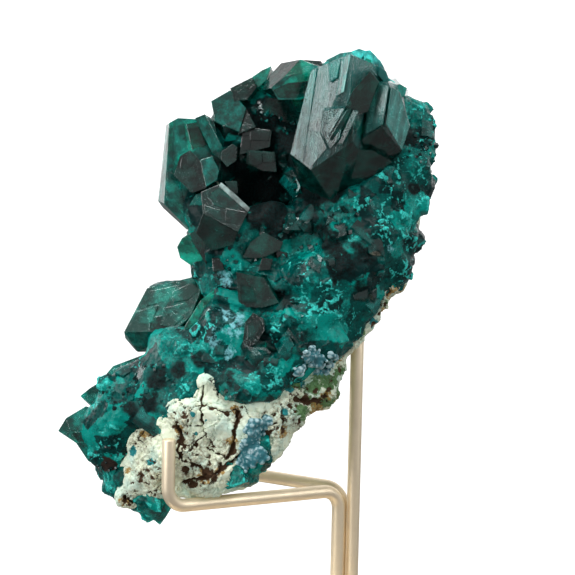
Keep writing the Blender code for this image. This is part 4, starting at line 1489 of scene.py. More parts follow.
@dataclass(frozen=True)
class Rubble:
    """Angular blocks of many sizes that break up a skin.

    Attributes:
        count: number of blocks.
        size: smallest and largest radius, in millimetres.
        seed: seed of their places and shapes.
        spread: how strongly small sizes are preferred.
        sunk: share of the radius by which a block's middle lies below the skin.
        facing: lowest share of a face's slant towards the viewer.
        broken: share of the blocks that are broken chips without crystal faces.
        clear_spots: middles and radii of the places that stay free, in pixels.
        rim_spots: more places that stay free, where blocks would stand out over the rim.
        only_spots: middles and radii of the only places with blocks; none for everywhere.
        dropped: middles and radii of the places whose blocks are left out after all are drawn.
    """

    count: int
    size: tuple[float, float]
    seed: int
    spread: float = 2.0
    sunk: float = 0.55
    facing: float = -1.0
    broken: float = 0.6
    clear_spots: tuple = (
        (165, 302, 42), (335, 120, 62), (190, 165, 42), (225, 210, 34), (82, 432, 26), (375, 130, 40),
        (205, 380, 9), (442, 136, 12),
    )
    rim_spots: tuple = ()
    only_spots: tuple = ()
    dropped: tuple = ()

    def blocks(self, skin: Object) -> list[Block]:
        """Place the blocks on a skin.

        Args:
            skin: surface that the blocks sit in.

        Returns:
            The blocks.
        """
        draw = random.Random(self.seed)
        toward = VIEW.toward()
        shown = VIEW.pixels(np.array([polygon.center for polygon in skin.data.polygons]))
        free = ~Field.within(shown, (*self.clear_spots, *self.rim_spots))
        if self.only_spots:
            free &= Field.within(shown, self.only_spots, 1.2)
        faces = [
            face for face in skin.data.polygons
            if free[face.index] and face.normal.dot(toward) > self.facing
        ]
        low, high = self.size
        made = []
        for _ in range(self.count):
            face = draw.choice(faces)
            size = low + (high - low) * draw.random() ** self.spread
            _, turn = random_turn(draw, face.normal, 0.8)
            shape = self.chip(draw) if draw.random() < self.broken else self.prism(draw)
            middle = face.center - face.normal * size * self.sunk * MM
            corners = tuple(middle + turn @ (corner * size * MM) for corner in shape)
            block = Block(middle, corners, draw.random())
            if not Field.within(VIEW.pixels(np.array([middle])), self.dropped)[0]:
                made.append(block)
        return made

    @staticmethod
    def prism(draw: random.Random) -> list[Vector]:
        """Draw a six sided crystal of radius 1.

        Args:
            draw: the source of random values.

        Returns:
            Its corners.
        """
        long = draw.uniform(0.7, 1.5)
        flat = draw.uniform(0.6, 1.0)
        shape = [Vector((0.0, 0.0, long))]
        for corner in range(6):
            angle = (corner + draw.uniform(-0.18, 0.18)) * math.pi / 3.0
            reach = Vector((math.cos(angle), math.sin(angle) * flat, 0.0)) * draw.uniform(0.85, 1.0)
            fall = END_FACE_FALL if corner % 2 == 0 else END_FACE_FALL / 2.0
            shape.append(reach + Vector((0.0, 0.0, long - fall * 0.7)))
            shape.append(reach + Vector((0.0, 0.0, -long)))
        return shape

    @staticmethod
    def chip(draw: random.Random) -> list[Vector]:
        """Draw a broken chip of radius 1.

        Args:
            draw: the source of random values.

        Returns:
            Its corners.
        """
        stretch = Vector((1.3, draw.uniform(0.7, 1.0), draw.uniform(0.5, 0.9)))
        shape = []
        for _ in range(11):
            corner = Vector((draw.gauss(0.0, 1.0), draw.gauss(0.0, 1.0), draw.gauss(0.0, 1.0))).normalized()
            shape.append(corner * stretch * draw.uniform(0.8, 1.1))
        return shape

    @staticmethod
    def model(blocks: list[Block], name: str) -> Object:
        """Model some blocks as one object.

        Args:
            blocks: the blocks.
            name: name of the object.

        Returns:
            The object, in which each block is closed.
        """
        obj = Bench.hull(name, list(blocks[0].corners))
        build = bmesh.new()
        for block in blocks:
            own = [build.verts.new(corner) for corner in block.corners]
            bmesh.ops.convex_hull(build, input=own, use_existing_faces=False)
        loose = [vertex for vertex in build.verts if not vertex.link_faces]
        bmesh.ops.delete(build, geom=loose, context="VERTS")
        bmesh.ops.dissolve_limit(build, angle_limit=math.radians(1.0), verts=build.verts, edges=build.edges)
        bmesh.ops.recalc_face_normals(build, faces=build.faces)
        build.to_mesh(obj.data)
        build.free()
        return obj


# Middles and radii of the places on the rim without loose crystals
BARE_RIM = (
    (375, 338, 18), (152, 508, 24), (104, 488, 18), (434, 150, 24), (414, 284, 16), (426, 242, 16),
    (436, 206, 14), (350, 362, 12),
)

# Middles and radii of the places where a loose crystal would mirror the bright surroundings
PLAIN_PLACES = (
    (393, 83, 12), (419, 202, 15), (366, 225, 9), (345, 242, 9), (319, 257, 8), (341, 266, 7),
    (315, 228, 8), (140, 372, 9), (190, 369, 10), (288, 229, 6), (240, 237, 6),
)


@dataclass
class RubbleCrystals:
    """Clear angular crystals that sit in the crust.

    Attributes:
        sets: the crystals of each look.
    """

    sets: tuple = (
        # These dark shards stand only in the dark parts, so they also deepen the painted shade of the large
        # hollow.
        ("rubble_dark", Rubble(
            90, (0.8, 2.6), 21, 1.3, 0.62, 0.25, rim_spots=BARE_RIM, only_spots=DARK_PARTS,
            dropped=PLAIN_PLACES), SHARD),
        ("rubble_teal", Rubble(
            70, (0.8, 2.4), 22, 1.4, 0.66, 0.25, rim_spots=BARE_RIM, dropped=PLAIN_PLACES), CHIP),
    )

    def build(self, crust: Object) -> list[Object]:
        """Model the crystals.

        Args:
            crust: what they sit in.

        Returns:
            One object per look.
        """
        made = []
        for name, rubble, clarity in self.sets:
            obj = Rubble.model(rubble.blocks(crust), name)
            Bench.ease_edges(obj, 0.00006, 1, 15.0)
            Bench.flat_faces(obj)
            Bench.lay_coordinates(obj, VIEW.axes()[1])
            obj.data.materials.append(clarity.value.material())
            made.append(obj)
        return made


@dataclass
class Crust:
    """The massive dioptase that the crystals stand on.

    Attributes:
        skin: its smooth shape.
        rubble: the angular blocks that break it up.
        voxel: size of its mesh, in millimetres.
        frost_spots: middles and radii of the brightest turquoise, in pixels.
        milk_spots: middles and radii of the bluish white patches.
        dark_spots: middles and radii of the dark green parts, and of the painted shade in the large hollow.
        rust_spots: middles and radii of the brown parts.
        hollow_end: pixels down to the lower end of the large hollow, where the painted shade is darkest.
        most_triangles: how many triangles its finished mesh may have.
        grit_height: height of the fine grit, in millimetres.
        chip_height: height of the chipped facets, in millimetres.
        sharp: angle from which its edges are shaded sharp, in degrees.
    """

    skin: LumpSkin = field(default_factory=lambda: LumpSkin(CRUST_LUMPS, 0.75))
    rubble: tuple = (Rubble(330, (1.1, 2.8), 3, 1.4, 0.62), Rubble(420, (0.5, 1.3), 4, 1.2, 0.55))
    voxel: float = 0.25
    frost_spots: tuple = (
        (370, 58, 14), (395, 100, 14), (415, 108, 12), (425, 130, 12), (420, 175, 10), (398, 190, 12),
        (355, 205, 12), (345, 230, 10), (410, 245, 12), (405, 270, 12), (300, 262, 14), (330, 262, 12),
        (345, 320, 14), (320, 312, 12), (280, 330, 14), (260, 368, 12), (190, 385, 10), (170, 395, 8),
        (135, 358, 8), (100, 385, 12), (90, 400, 8), (125, 455, 10), (110, 490, 8), (148, 510, 10),
        (250, 455, 12), (235, 485, 10), (295, 375, 10), (210, 375, 8), (223, 340, 10), (408, 112, 18),
        (424, 145, 14), (416, 168, 12), (400, 215, 14), (410, 230, 12), (385, 205, 12), (118, 468, 14),
        (108, 440, 12), (105, 478, 10), (130, 495, 10), (200, 330, 12), (392, 180, 12), (400, 160, 12),
        (378, 215, 14), (366, 205, 10), (385, 230, 12), (420, 200, 12), (95, 455, 10), (305, 300, 12),
        (330, 290, 12), (212, 356, 10), (275, 378, 12), (250, 378, 8), (160, 512, 14),
    )
    milk_spots: tuple = (
        (232, 332, 15), (224, 318, 8), (225, 278, 9), (390, 250, 6), (218, 343, 10), (240, 322, 9),
        (228, 352, 8),
    )
    dark_spots: tuple = DARK_PARTS
    rust_spots: tuple = ((107, 464, 7),)
    hollow_end: float = 225.0
    most_triangles: int = 190_000
    grit_height: float = 0.05
    chip_height: float = 0.10
    sharp: float = 38.0

    def build(self) -> Object:
        """Model the crust.

        Returns:
            The crust with its masks and finish.
        """
        obj = self.skin.build("crust_massive")
        blocks = [block for rubble in self.rubble for block in rubble.blocks(obj)]
        obj = Bench.join([obj, Rubble.model(blocks, "blocks")], "crust_massive")
        Bench.modify(obj, "REMESH", mode="VOXEL", voxel_size=self.voxel * MM)
        Bench.modify(obj, "SMOOTH", factor=0.25, iterations=1)
        places = Bench.places(obj)
        normals = Bench.normals(obj)
        ridge = Bench.curvature(obj, 4)
        broad_ridge = Bench.curvature(obj, 16)
        warp = np.stack([Field.fractal(places, 1.6, 3, seed) for seed in (101.0, 113.0, 127.0)], 1)
        warped = places + warp * (0.5 * MM)
        _, seams = Field.facets(warped, 2.6, 11.0)
        chips, chip_seams = Field.facets(warped, 1.1, 23.0)
        grit = Field.fractal(places, 0.6, 3, 5.0)
        relief = grit * self.grit_height + chips * self.chip_height
        Bench.move_to(obj, places + normals * (relief * MM)[:, None])
        shown = VIEW.pixels(places)
        facing = normals @ np.array(VIEW.toward())
        front = Field.ease(facing, -0.35, 0.1)
        wander = Field.fractal(places, 3.0, 3, 31.0)
        patchy = Field.ease(Field.fractal(places, 4.5, 3, 47.0), -0.35, 0.5)
        # Painted light: ridges and facet seams are made bright turquoise, most of all in the spots of
        # brightest turquoise, and painted shade dims it.
        frost_and_rim_light = self.spots(shown, self.frost_spots, wander) * front
        rim = Field.ease(ridge, 0.12, 0.5) * 0.45 + Field.ease(broad_ridge, 0.3, 1.4) * 0.5
        seam = Field.ease(seams, 0.80, 0.97) * 0.8 + Field.ease(chip_seams, 0.8, 0.98) * 0.3
        lines = np.maximum(rim, seam)
        # Painted shade: the dark parts darken the crust, most of all in the large hollow, and dim the
        # painted light on the ridges.
        in_hollow = Field.ease(self.hollow_end - shown[:, 1], -15.0, 15.0)
        shade = self.spots(shown, self.dark_spots, wander) * front * (0.72 + 0.28 * in_hollow)
        rimmed = (lines * (0.15 + 0.65 * patchy) + frost_and_rim_light * (0.12 + 0.75 * lines)) * (1.0 - 0.85 * shade)
        Bench.paint(obj, "frost_and_rim_light", rimmed)
        Bench.paint(obj, "tone", self.block_tones(places + warp * (0.3 * MM), blocks))
        Bench.paint(obj, "milk", self.spots(shown, self.milk_spots, wander) * front * 0.75)
        # Painted shade in the crevices, where the crust curves inward.
        crevice = Field.ease(-broad_ridge, 0.2, 1.6)
        Bench.paint(obj, "shade", np.maximum(shade, crevice))
        back_rust = (1.0 - front) * Field.ease(wander, 0.0, 0.5) * 0.7
        Bench.paint(obj, "rust", self.spots(shown, self.rust_spots, wander) * front + back_rust)
        Bench.sharp_by_angle(obj, self.sharp)
        obj.data.materials.append(CrustFinish("massive_dioptase").material())
        return obj

    def thin_unseen(self, obj: Object) -> None:
        """Thin the crust's mesh where it faces away, once all that stands on it is in place.

        Args:
            obj: the crust.
        """
        triangles = sum(len(polygon.vertices) - 2 for polygon in obj.data.polygons)
        away = Field.ease(-(Bench.normals(obj) @ np.array(VIEW.toward())), 0.1, 0.4)
        group = obj.vertex_groups.new(name="unseen")
        for index in np.flatnonzero(away > 0.0):
            group.add([int(index)], float(away[index]), "REPLACE")
        Bench.modify(obj, "DECIMATE", ratio=self.most_triangles / triangles, vertex_group=group.name,
                     vertex_group_factor=1000.0)
        obj.vertex_groups.clear()
        Bench.sharp_by_angle(obj, self.sharp)

    @staticmethod
    def block_tones(places: np.ndarray, blocks: list[Block]) -> np.ndarray:
        """Return the tone of the block that each vertex is nearest to.

        Args:
            places: one row of x, y, z per vertex, in metres.
            blocks: the blocks.

        Returns:
            One value per vertex, 0 to 1.
        """
        tree = KDTree(len(blocks))
        for index, block in enumerate(blocks):
            tree.insert(block.middle, index)
        tree.balance()
        return np.array([blocks[tree.find(Vector(place))[1]].tone for place in places])

    @staticmethod
    def spots(shown: np.ndarray, spots: tuple, wander: np.ndarray) -> np.ndarray:
        """Return how strongly some round patches cover each vertex.

        Args:
            shown: picture place of each vertex.
            spots: middle and radius of each patch, in pixels.
            wander: noise that makes the patches' edges ragged.

        Returns:
            One value per vertex, 0 to 1.
        """
        cover = np.zeros(len(shown))
        for across, down, radius in spots:
            gap = np.hypot(shown[:, 0] - across, shown[:, 1] - down) / radius + wander * 0.8
            cover = np.maximum(cover, 1.0 - Field.ease(gap, 0.4, 1.4))
        return cover


@dataclass
class MatrixRock:
    """The pale cracked rock.

    Attributes:
        skin: its rough shape.
        cracks: picture route and half width of each crack, in pixels.
        hollows: middle, radius and depth of each brown cavity.
        ochre: middles and radii of the rusty parts, in pixels.
        moss: middles and radii of the green brown parts.
        teal: middles and radii of the blue green stains.
        lilac: middles and radii of the stains under the beads.
        granular: middles and radii of the crumbly parts.
        plate_height: height of its broad flat parts, in millimetres.
        chip_height: height of the smaller ones.
        bump_height: height of its bumps, and how much higher they are in crumbly parts.
        crumb_height: height of the crumbs.
        crag_height: height of the crags at the back.
        craze_depth: depth of the fine cracks between the flat parts.
        pit_depth: depth of the pits in crumbly parts.
    """

    skin: LumpSkin = field(default_factory=lambda: LumpSkin(MATRIX_LUMPS, 0.5))
    cracks: tuple = (
        (((204, 384), (202, 404), (202, 427)), 1.5),
        (((190, 428), (202, 427), (206, 436), (214, 446)), 0.8),
        (((237, 410), (236, 425), (232, 445), (228, 458)), 2.6),
        (((264, 412), (262, 428), (265, 436), (264, 448)), 1.0),
        (((178, 402), (190, 410), (202, 404), (215, 407), (228, 412), (242, 404)), 0.7),
        (((215, 407), (218, 392), (210, 378)), 0.5),
        (((206, 436), (196, 444), (190, 452), (178, 452)), 0.8),
        (((245, 404), (252, 420), (262, 428), (278, 424)), 0.7),
        (((280, 404), (284, 418), (282, 432)), 0.9), (((228, 458), (216, 452), (206, 448)), 0.9),
        (((184, 484), (196, 479), (207, 481), (218, 471), (229, 466), (240, 457)), 3.6),
        (((176, 424), (182, 436), (176, 450), (184, 462)), 2.0),
        (((186, 462), (200, 468), (205, 480)), 1.6), (((146, 428), (138, 438), (146, 446)), 1.0),
        (((124, 497), (130, 503), (140, 499)), 2.4), (((296, 398), (308, 405), (322, 398)), 3.0),
    )
    hollows: tuple = (
        (228, 413, 4, 0.5), (212, 408, 3, 0.4), (238, 420, 4, 0.6), (222, 466, 7, 0.9),
        (206, 474, 7, 0.9), (234, 474, 4, 0.5), (126, 500, 4, 0.5), (275, 415, 3, 0.4),
        (284, 430, 4, 0.5), (180, 440, 5, 0.6), (232, 452, 4, 0.5), (305, 402, 6, 0.4),
        (186, 470, 5, 0.6), (174, 412, 3, 0.3), (192, 486, 5, 0.7), (214, 482, 5, 0.7),
        (196, 446, 3, 0.4), (210, 456, 3, 0.4), (172, 428, 3, 0.4), (146, 470, 3, 0.4),
        (132, 482, 3, 0.4), (152, 434, 4, 0.4), (296, 412, 3, 0.4), (320, 404, 4, 0.4),
        (268, 434, 3, 0.4), (242, 406, 3, 0.4), (164, 486, 3, 0.4), (397, 284, 5, 0.6),
        (390, 294, 5, 0.7), (386, 305, 5, 0.5), (401, 277, 4, 0.5), (381, 314, 4, 0.5),
        (374, 324, 4, 0.4), (317, 391, 5, 0.5), (326, 399, 5, 0.5), (309, 404, 4, 0.4),
        (340, 352, 5, 0.4), (334, 358, 4, 0.4),
    )
    ochre: tuple = (
        (232, 440, 6), (222, 470, 9), (236, 410, 5), (322, 396, 8), (333, 356, 9), (285, 432, 7),
        (178, 430, 6), (144, 435, 6), (205, 478, 9), (126, 500, 7), (398, 286, 9), (414, 228, 5),
        (350, 332, 7), (318, 410, 9), (338, 350, 13), (391, 296, 10), (382, 312, 8), (270, 470, 6),
        (128, 470, 5), (328, 396, 8), (306, 396, 6),
    )
    moss: tuple = (
        (312, 392, 19), (326, 400, 16), (343, 372, 10), (345, 392, 8), (402, 278, 7), (386, 304, 8),
        (360, 330, 7), (328, 384, 12), (302, 410, 10),
    )
    teal: tuple = (
        (266, 398, 5), (276, 392, 6), (290, 388, 6), (302, 384, 6), (206, 420, 2), (196, 434, 3),
        (326, 374, 6), (193, 414, 3), (116, 462, 6), (144, 504, 6), (284, 412, 4), (262, 470, 8),
        (134, 452, 5), (150, 462, 5), (374, 321, 7),
    )
    lilac: tuple = ((318, 366, 10), (255, 448, 12), (248, 470, 10), (262, 436, 7), (250, 485, 8))
    granular: tuple = (
        (200, 462, 26), (188, 446, 18), (152, 474, 22), (222, 452, 12), (160, 492, 16), (236, 418, 8),
        (140, 438, 16), (240, 470, 16), (270, 425, 18), (306, 398, 20), (180, 420, 14), (285, 412, 14),
        (345, 340, 16), (345, 375, 18), (396, 290, 18), (382, 308, 16), (335, 400, 18), (414, 228, 10),
        (130, 498, 14), (300, 425, 14),
    )

    plate_height: float = 0.16
    chip_height: float = 0.08
    bump_height: tuple[float, float] = (0.10, 0.14)
    crumb_height: float = 0.12
    crag_height: float = 0.45
    craze_depth: float = 0.22
    pit_depth: float = 0.28

    def build(self) -> Object:
        """Model the rock.

        Returns:
            The rock with its cracks, masks and finish.
        """
        obj = self.skin.build("matrix_rock")
        self.refine_front(obj)
        places = Bench.places(obj)
        normals = Bench.normals(obj)
        shown = VIEW.pixels(places)
        facing = normals @ np.array(VIEW.toward())
        front = Field.ease(facing, -0.25, 0.15) * Field.ease(-shown[:, 2], -1.5, 0.5)
        wander = Field.fractal(places, 2.2, 3, 3.0)
        drift = Field.fractal(places, 2.6, 3, 61.0)
        jitter = Field.fractal(places, 0.7, 3, 131.0)
        across = shown[:, 0] + wander * 2.0 + jitter * 1.5
        down = shown[:, 1] + drift * 2.0 - jitter * 1.5
        uneven = 0.75 + 0.6 * Field.fractal(places, 1.0, 2, 151.0)
        brown = np.zeros(len(places))
        sink = np.zeros(len(places))
        for route, half in self.cracks:
            gap = Field.near_line(across, down, route) / (half * np.clip(uneven, 0.3, 1.6))
            cover = (1.0 - Field.ease(gap, 0.45, 1.35)) * front
            brown = np.maximum(brown, cover)
            sink = np.maximum(sink, cover * (0.35 + 0.18 * half))
        for middle_across, middle_down, radius, depth in self.hollows:
            gap = np.hypot(across - middle_across, down - middle_down) / radius + wander * 0.45
            cover = (1.0 - Field.ease(gap, 0.35, 1.15)) * front
            brown = np.maximum(brown, cover * 0.95)
            sink = np.maximum(sink, cover * depth)
        seen = Field.ease(facing, -0.25, 0.15)
        bent = places + np.stack((wander, drift, jitter), 1) * (0.45 * MM)
        plates, borders = Field.facets(bent, 3.4, 71.0)
        chips, chinks = Field.facets(bent, 1.7, 77.0)
        crazing = np.maximum(Field.ease(borders, 0.84, 0.97), Field.ease(chinks, 0.86, 0.98) * 0.7)
        granular = Crust.spots(shown, self.granular, wander) * seen
        brown = np.maximum(brown, crazing * (0.10 + 0.30 * Field.ease(wander, -0.2, 0.4) + 0.26 * granular))
        bumps = Field.fractal(places, 1.1, 4, 83.0)
        crumbs = Field.fractal(places, 0.55, 2, 191.0)
        pits = Field.ease(-Field.fractal(places, 0.9, 3, 171.0), 0.16, 0.42) * granular
        brown = np.maximum(brown, pits * 0.75)
        low, extra = self.bump_height
        height = plates * self.plate_height + chips * self.chip_height + bumps * (low + extra * granular)
        height += crumbs * granular * self.crumb_height
        craggy = Field.facets(bent, 5.0, 201.0)[0]
        height += (1.0 - seen) * (craggy * self.crag_height + chips * 0.15 + bumps * 0.25)
        height -= sink + crazing * self.craze_depth + pits * self.pit_depth
        Bench.paint(obj, "grain", np.maximum(granular, 1.0 - seen))
        Bench.move_to(obj, places + normals * (height * MM)[:, None])
        hidden = 1.0 - Field.ease(facing, -0.4, 0.2)
        earthy = hidden * Field.ease(Field.fractal(places, 3.0, 5, 97.0), -0.25, 0.65)
        Bench.paint(obj, "brown", np.maximum(brown, hidden * Field.ease(wander, 0.15, 0.7) * 0.55))
        ochre = Crust.spots(shown, self.ochre, wander) * seen * 0.62
        Bench.paint(obj, "moss", Crust.spots(shown, self.moss, wander) * seen * 0.72)
        Bench.paint(obj, "ochre", np.maximum(ochre, earthy * 0.5))
        Bench.paint(obj, "teal", Crust.spots(shown, self.teal, wander) * front * 0.8)
        Bench.paint(obj, "lilac", Crust.spots(shown, self.lilac, wander) * front * 0.8)
        Bench.sharp_by_angle(obj, 50.0)
        obj.data.materials.append(MatrixFinish("pale_matrix").material())
        return obj

    @staticmethod
    def refine_front(obj: Object) -> None:
        """Cut the faces of the pale front finer, so that the cracks are crisp.

        Args:
            obj: the rock.
        """
        Bench.pick(obj)
        bpy.ops.object.mode_set(mode="EDIT")
        bpy.ops.mesh.select_all(action="DESELECT")
        bpy.ops.object.mode_set(mode="OBJECT")
        toward = VIEW.toward()
        centres = np.array([polygon.center for polygon in obj.data.polygons])
        shown = VIEW.pixels(centres)
        front_from, rim_from, deepest = 370.0, (362.0, 262.0), 0.5
        picked = [
            polygon.normal.dot(toward) > 0.05 and place[2] < deepest
            and (place[1] > front_from or place[0] > rim_from[0] and place[1] > rim_from[1])
            for polygon, place in zip(obj.data.polygons, shown)
        ]
        obj.data.polygons.foreach_set("select", picked)
        bpy.ops.object.mode_set(mode="EDIT")
        bpy.ops.mesh.select_mode(type="FACE")
        bpy.ops.mesh.subdivide(number_cuts=2, smoothness=0.0)
        bpy.ops.mesh.select_mode(type="VERT")
        bpy.ops.object.mode_set(mode="OBJECT")


@dataclass
class SmallCrystals:
    """Small drusy crystals scattered over the crust.

    Attributes:
        count: how many there are.
        radius: smallest and largest radius, in millimetres.
        seed: seed of their places.
        patches: middles and radii of the places where they stand, in pixels.
    """

    count: int = 180
    radius: tuple[float, float] = (0.22, 0.52)
    seed: int = 5
    patches: tuple = (
        (280, 112, 26), (232, 250, 20), (300, 335, 20), (150, 385, 24), (112, 400, 14), (350, 215, 18),
        (420, 150, 20), (108, 455, 16), (222, 395, 10), (300, 235, 20),
    )

    def pattern(self) -> Object:
        """Model one six sided crystal with three end faces.

        Returns:
            The crystal, one millimetre in radius.
        """
        corners = [Vector((0.0, 0.0, 2.0)) * MM]
        for corner in range(6):
            angle = corner * math.pi / 3.0
            reach = Vector((math.cos(angle), math.sin(angle), 0.0))
            fall = END_FACE_FALL if corner % 2 == 0 else END_FACE_FALL / 2.0
            corners.append((reach + Vector((0.0, 0.0, 2.0 - fall))) * MM)
            corners.append((reach * 0.9 + Vector((0.0, 0.0, -1.0))) * MM)
        return Bench.hull("small_crystal", corners)

    def build(self, crust: Object) -> Object:
        """Scatter copies of one crystal over the crust's display side.

        Args:
            crust: what they stand on.

        Returns:
            All the small crystals in one mesh.
        """
        model = self.pattern()
        shape = [vertex.co.copy() for vertex in model.data.vertices]
        loops = [tuple(polygon.vertices) for polygon in model.data.polygons]
        draw = random.Random(self.seed)
        toward = VIEW.toward()
        shown = VIEW.pixels(np.array([polygon.center for polygon in crust.data.polygons]))
        near = Field.within(shown, self.patches)
        faces = [face for face in crust.data.polygons if near[face.index] and face.normal.dot(toward) > 0.1]
        points: list[Vector] = []
        sides: list[tuple[int, ...]] = []
        for _ in range(self.count):
            face = draw.choice(faces)
            low, high = self.radius
            size = low + (high - low) * draw.random() ** 2.2
            direction, turn = random_turn(draw, face.normal, 0.7)
            first = len(points)
            root = face.center - direction * size * 0.9 * MM
            points.extend(root + turn @ (corner * size) for corner in shape)
            sides.extend(tuple(first + index for index in loop) for loop in loops)
        model.data.clear_geometry()
        model.data.from_pydata(points, [], sides)
        model.data.update()
        Bench.settle(model, "crystals_small")
        model.data.materials.append(DrusyFinish("drusy_dioptase").material())
        return model


@dataclass
class Beads:
    """Clusters of waxy round beads.

    Attributes:
        clusters: middle, radius in pixels, depth and number of each cluster.
        seed: seed of their places.
    """

    clusters: tuple = (
        (314, 362, 11, 44), (326, 373, 10, 34), (336, 362, 5, 10), (300, 376, 6, 12), (252, 440, 10, 44),
        (246, 458, 11, 56), (243, 476, 9, 44), (259, 468, 7, 22), (263, 432, 7, 22),
    )
    seed: int = 9

    def build(self, rocks: list[Object]) -> Object:
        """Set the beads on the rock's surface.

        Args:
            rocks: what they may stand on.

        Returns:
            All beads in one mesh.
        """
        trees = [BVHTree.FromObject(rock, bpy.context.evaluated_depsgraph_get()) for rock in rocks]
        inward = VIEW.axes()[2]
        draw = random.Random(self.seed)
        beads = []
        for across, down, radius, count in self.clusters:
            for _ in range(count):
                angle = draw.uniform(0.0, 2.0 * math.pi)
                reach = radius * math.sqrt(draw.random())
                start = VIEW.point(across + math.cos(angle) * reach, down + math.sin(angle) * reach, -40.0)
                hits = [tree.ray_cast(start, inward) for tree in trees]
                hits = [hit for hit in hits if hit[0] is not None]
                if not hits:
                    continue
                place = min(hits, key=lambda hit: hit[3])[0]
                Bench.clear_selection()
                bpy.ops.mesh.primitive_ico_sphere_add(
                    subdivisions=2, radius=draw.uniform(0.25, 0.62) * MM, location=place)
                bpy.ops.transform.resize(value=(1.0, draw.uniform(0.7, 1.0), draw.uniform(0.8, 1.0)))
                beads.append(bpy.context.object)
        obj = Bench.join(beads, "chalcedony_beads")
        Bench.modify(obj, "REMESH", mode="VOXEL", voxel_size=0.12 * MM)
        Bench.modify(obj, "SMOOTH", factor=0.5, iterations=2)
        # The crest mask follows how far each point stands out: it carries painted light on the beads' tops
        # and painted shade between them.
        Bench.paint(obj, "crest", Field.ease(Bench.curvature(obj, 5), -0.2, 0.9))
        Bench.sharp_by_angle(obj, 60.0)
        obj.data.materials.append(WaxFinish("waxy_beads").material())
        return obj


class Specimen:
    """The stone itself: matrix, crust, crystals and beads."""

    def build(self) -> None:
        """Build every piece of the stone and put it on its body."""
        rock = MatrixRock().build()
        self.place(rock, "matrix", "matrix_rock")
        massive = Crust()
        crust = massive.build()
        self.place(crust, "dioptase_crystals", "dioptase")
        plates = [plate.facet(number) for number, plate in enumerate(PLATES)]
        for facet in (*CRYSTALS, *CREST_GRAINS, *plates):
            self.place(facet.build(), "dioptase_crystals", "dioptase")
        for piece in RubbleCrystals().build(crust):
            self.place(piece, "dioptase_crystals", "dioptase")
        self.place(SmallCrystals().build(crust), "dioptase_crystals", "dioptase")
        self.place(Beads().build([rock, crust]), "matrix", "matrix_rock")
        massive.thin_unseen(crust)

    @staticmethod
    def place(piece: Object, node: str, slot: str) -> None:
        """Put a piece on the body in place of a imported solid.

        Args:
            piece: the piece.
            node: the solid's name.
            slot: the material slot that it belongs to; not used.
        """
        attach(piece, BODY)
        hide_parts(node)
        LOG.info("%s: %d faces", piece.name, len(piece.data.polygons))


# The stand

@dataclass(frozen=True)
class Rod:
    """A round rod along a bent line.

    Attributes:
        name: name of the object.
        node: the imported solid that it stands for.
        corners: corner points of its centre line, in millimetres.
        radius: half its thickness, in millimetres.
        bend: radius of its bends, in millimetres.
    """

    name: str
    node: str
    corners: tuple
    radius: float = 1.0
    bend: float = 3.0

    def build(self) -> Object:
        """Model the rod: a disc, drawn along the runs and spun round the bends.

        Returns:
            The rod with eased ends and its finish.
        """
        corners = [Vector(corner) for corner in self.corners]
        heading = (corners[1] - corners[0]).normalized()
        Bench.clear_selection()
        bpy.ops.mesh.primitive_circle_add(
            vertices=32, radius=self.radius * MM, fill_type="NGON", location=corners[0] * MM,
            rotation=heading.to_track_quat("Z", "X").to_euler())
        obj = Bench.settle(bpy.context.object, self.name)
        bpy.ops.object.mode_set(mode="EDIT")
        bpy.ops.mesh.select_all(action="SELECT")
        here = corners[0]
        for corner, after in zip(corners[1:], corners[2:]):
            leave = (after - corner).normalized()
            half = heading.angle(leave) / 2.0
            stop = corner - heading * self.bend * math.tan(half)
            self.draw_run(stop - here)
            across = heading.cross(leave).normalized()
            middle = stop + (leave - heading * leave.dot(heading)).normalized() * self.bend
            bpy.ops.mesh.spin(
                steps=10, angle=-2.0 * half, center=middle * MM, axis=across, use_auto_merge=False)
            here = corner + leave * self.bend * math.tan(half)
            heading = leave
        self.draw_run(corners[-1] - here)
        bpy.ops.mesh.select_all(action="SELECT")
        bpy.ops.mesh.remove_doubles(threshold=0.000001)
        bpy.ops.mesh.normals_make_consistent(inside=False)
        bpy.ops.object.mode_set(mode="OBJECT")
        Bench.ease_edges(obj, 0.00018, 3, 60.0)
        Bench.sharp_by_angle(obj, 40.0)
        obj.data.materials.append(MetalFinish("satin_rod").material())
        return obj

    @staticmethod
    def draw_run(step: Vector) -> None:
        """Extrude the selected end along a straight run, in millimetres."""
        bpy.ops.mesh.extrude_region_move(TRANSFORM_OT_translate={"value": step * MM})


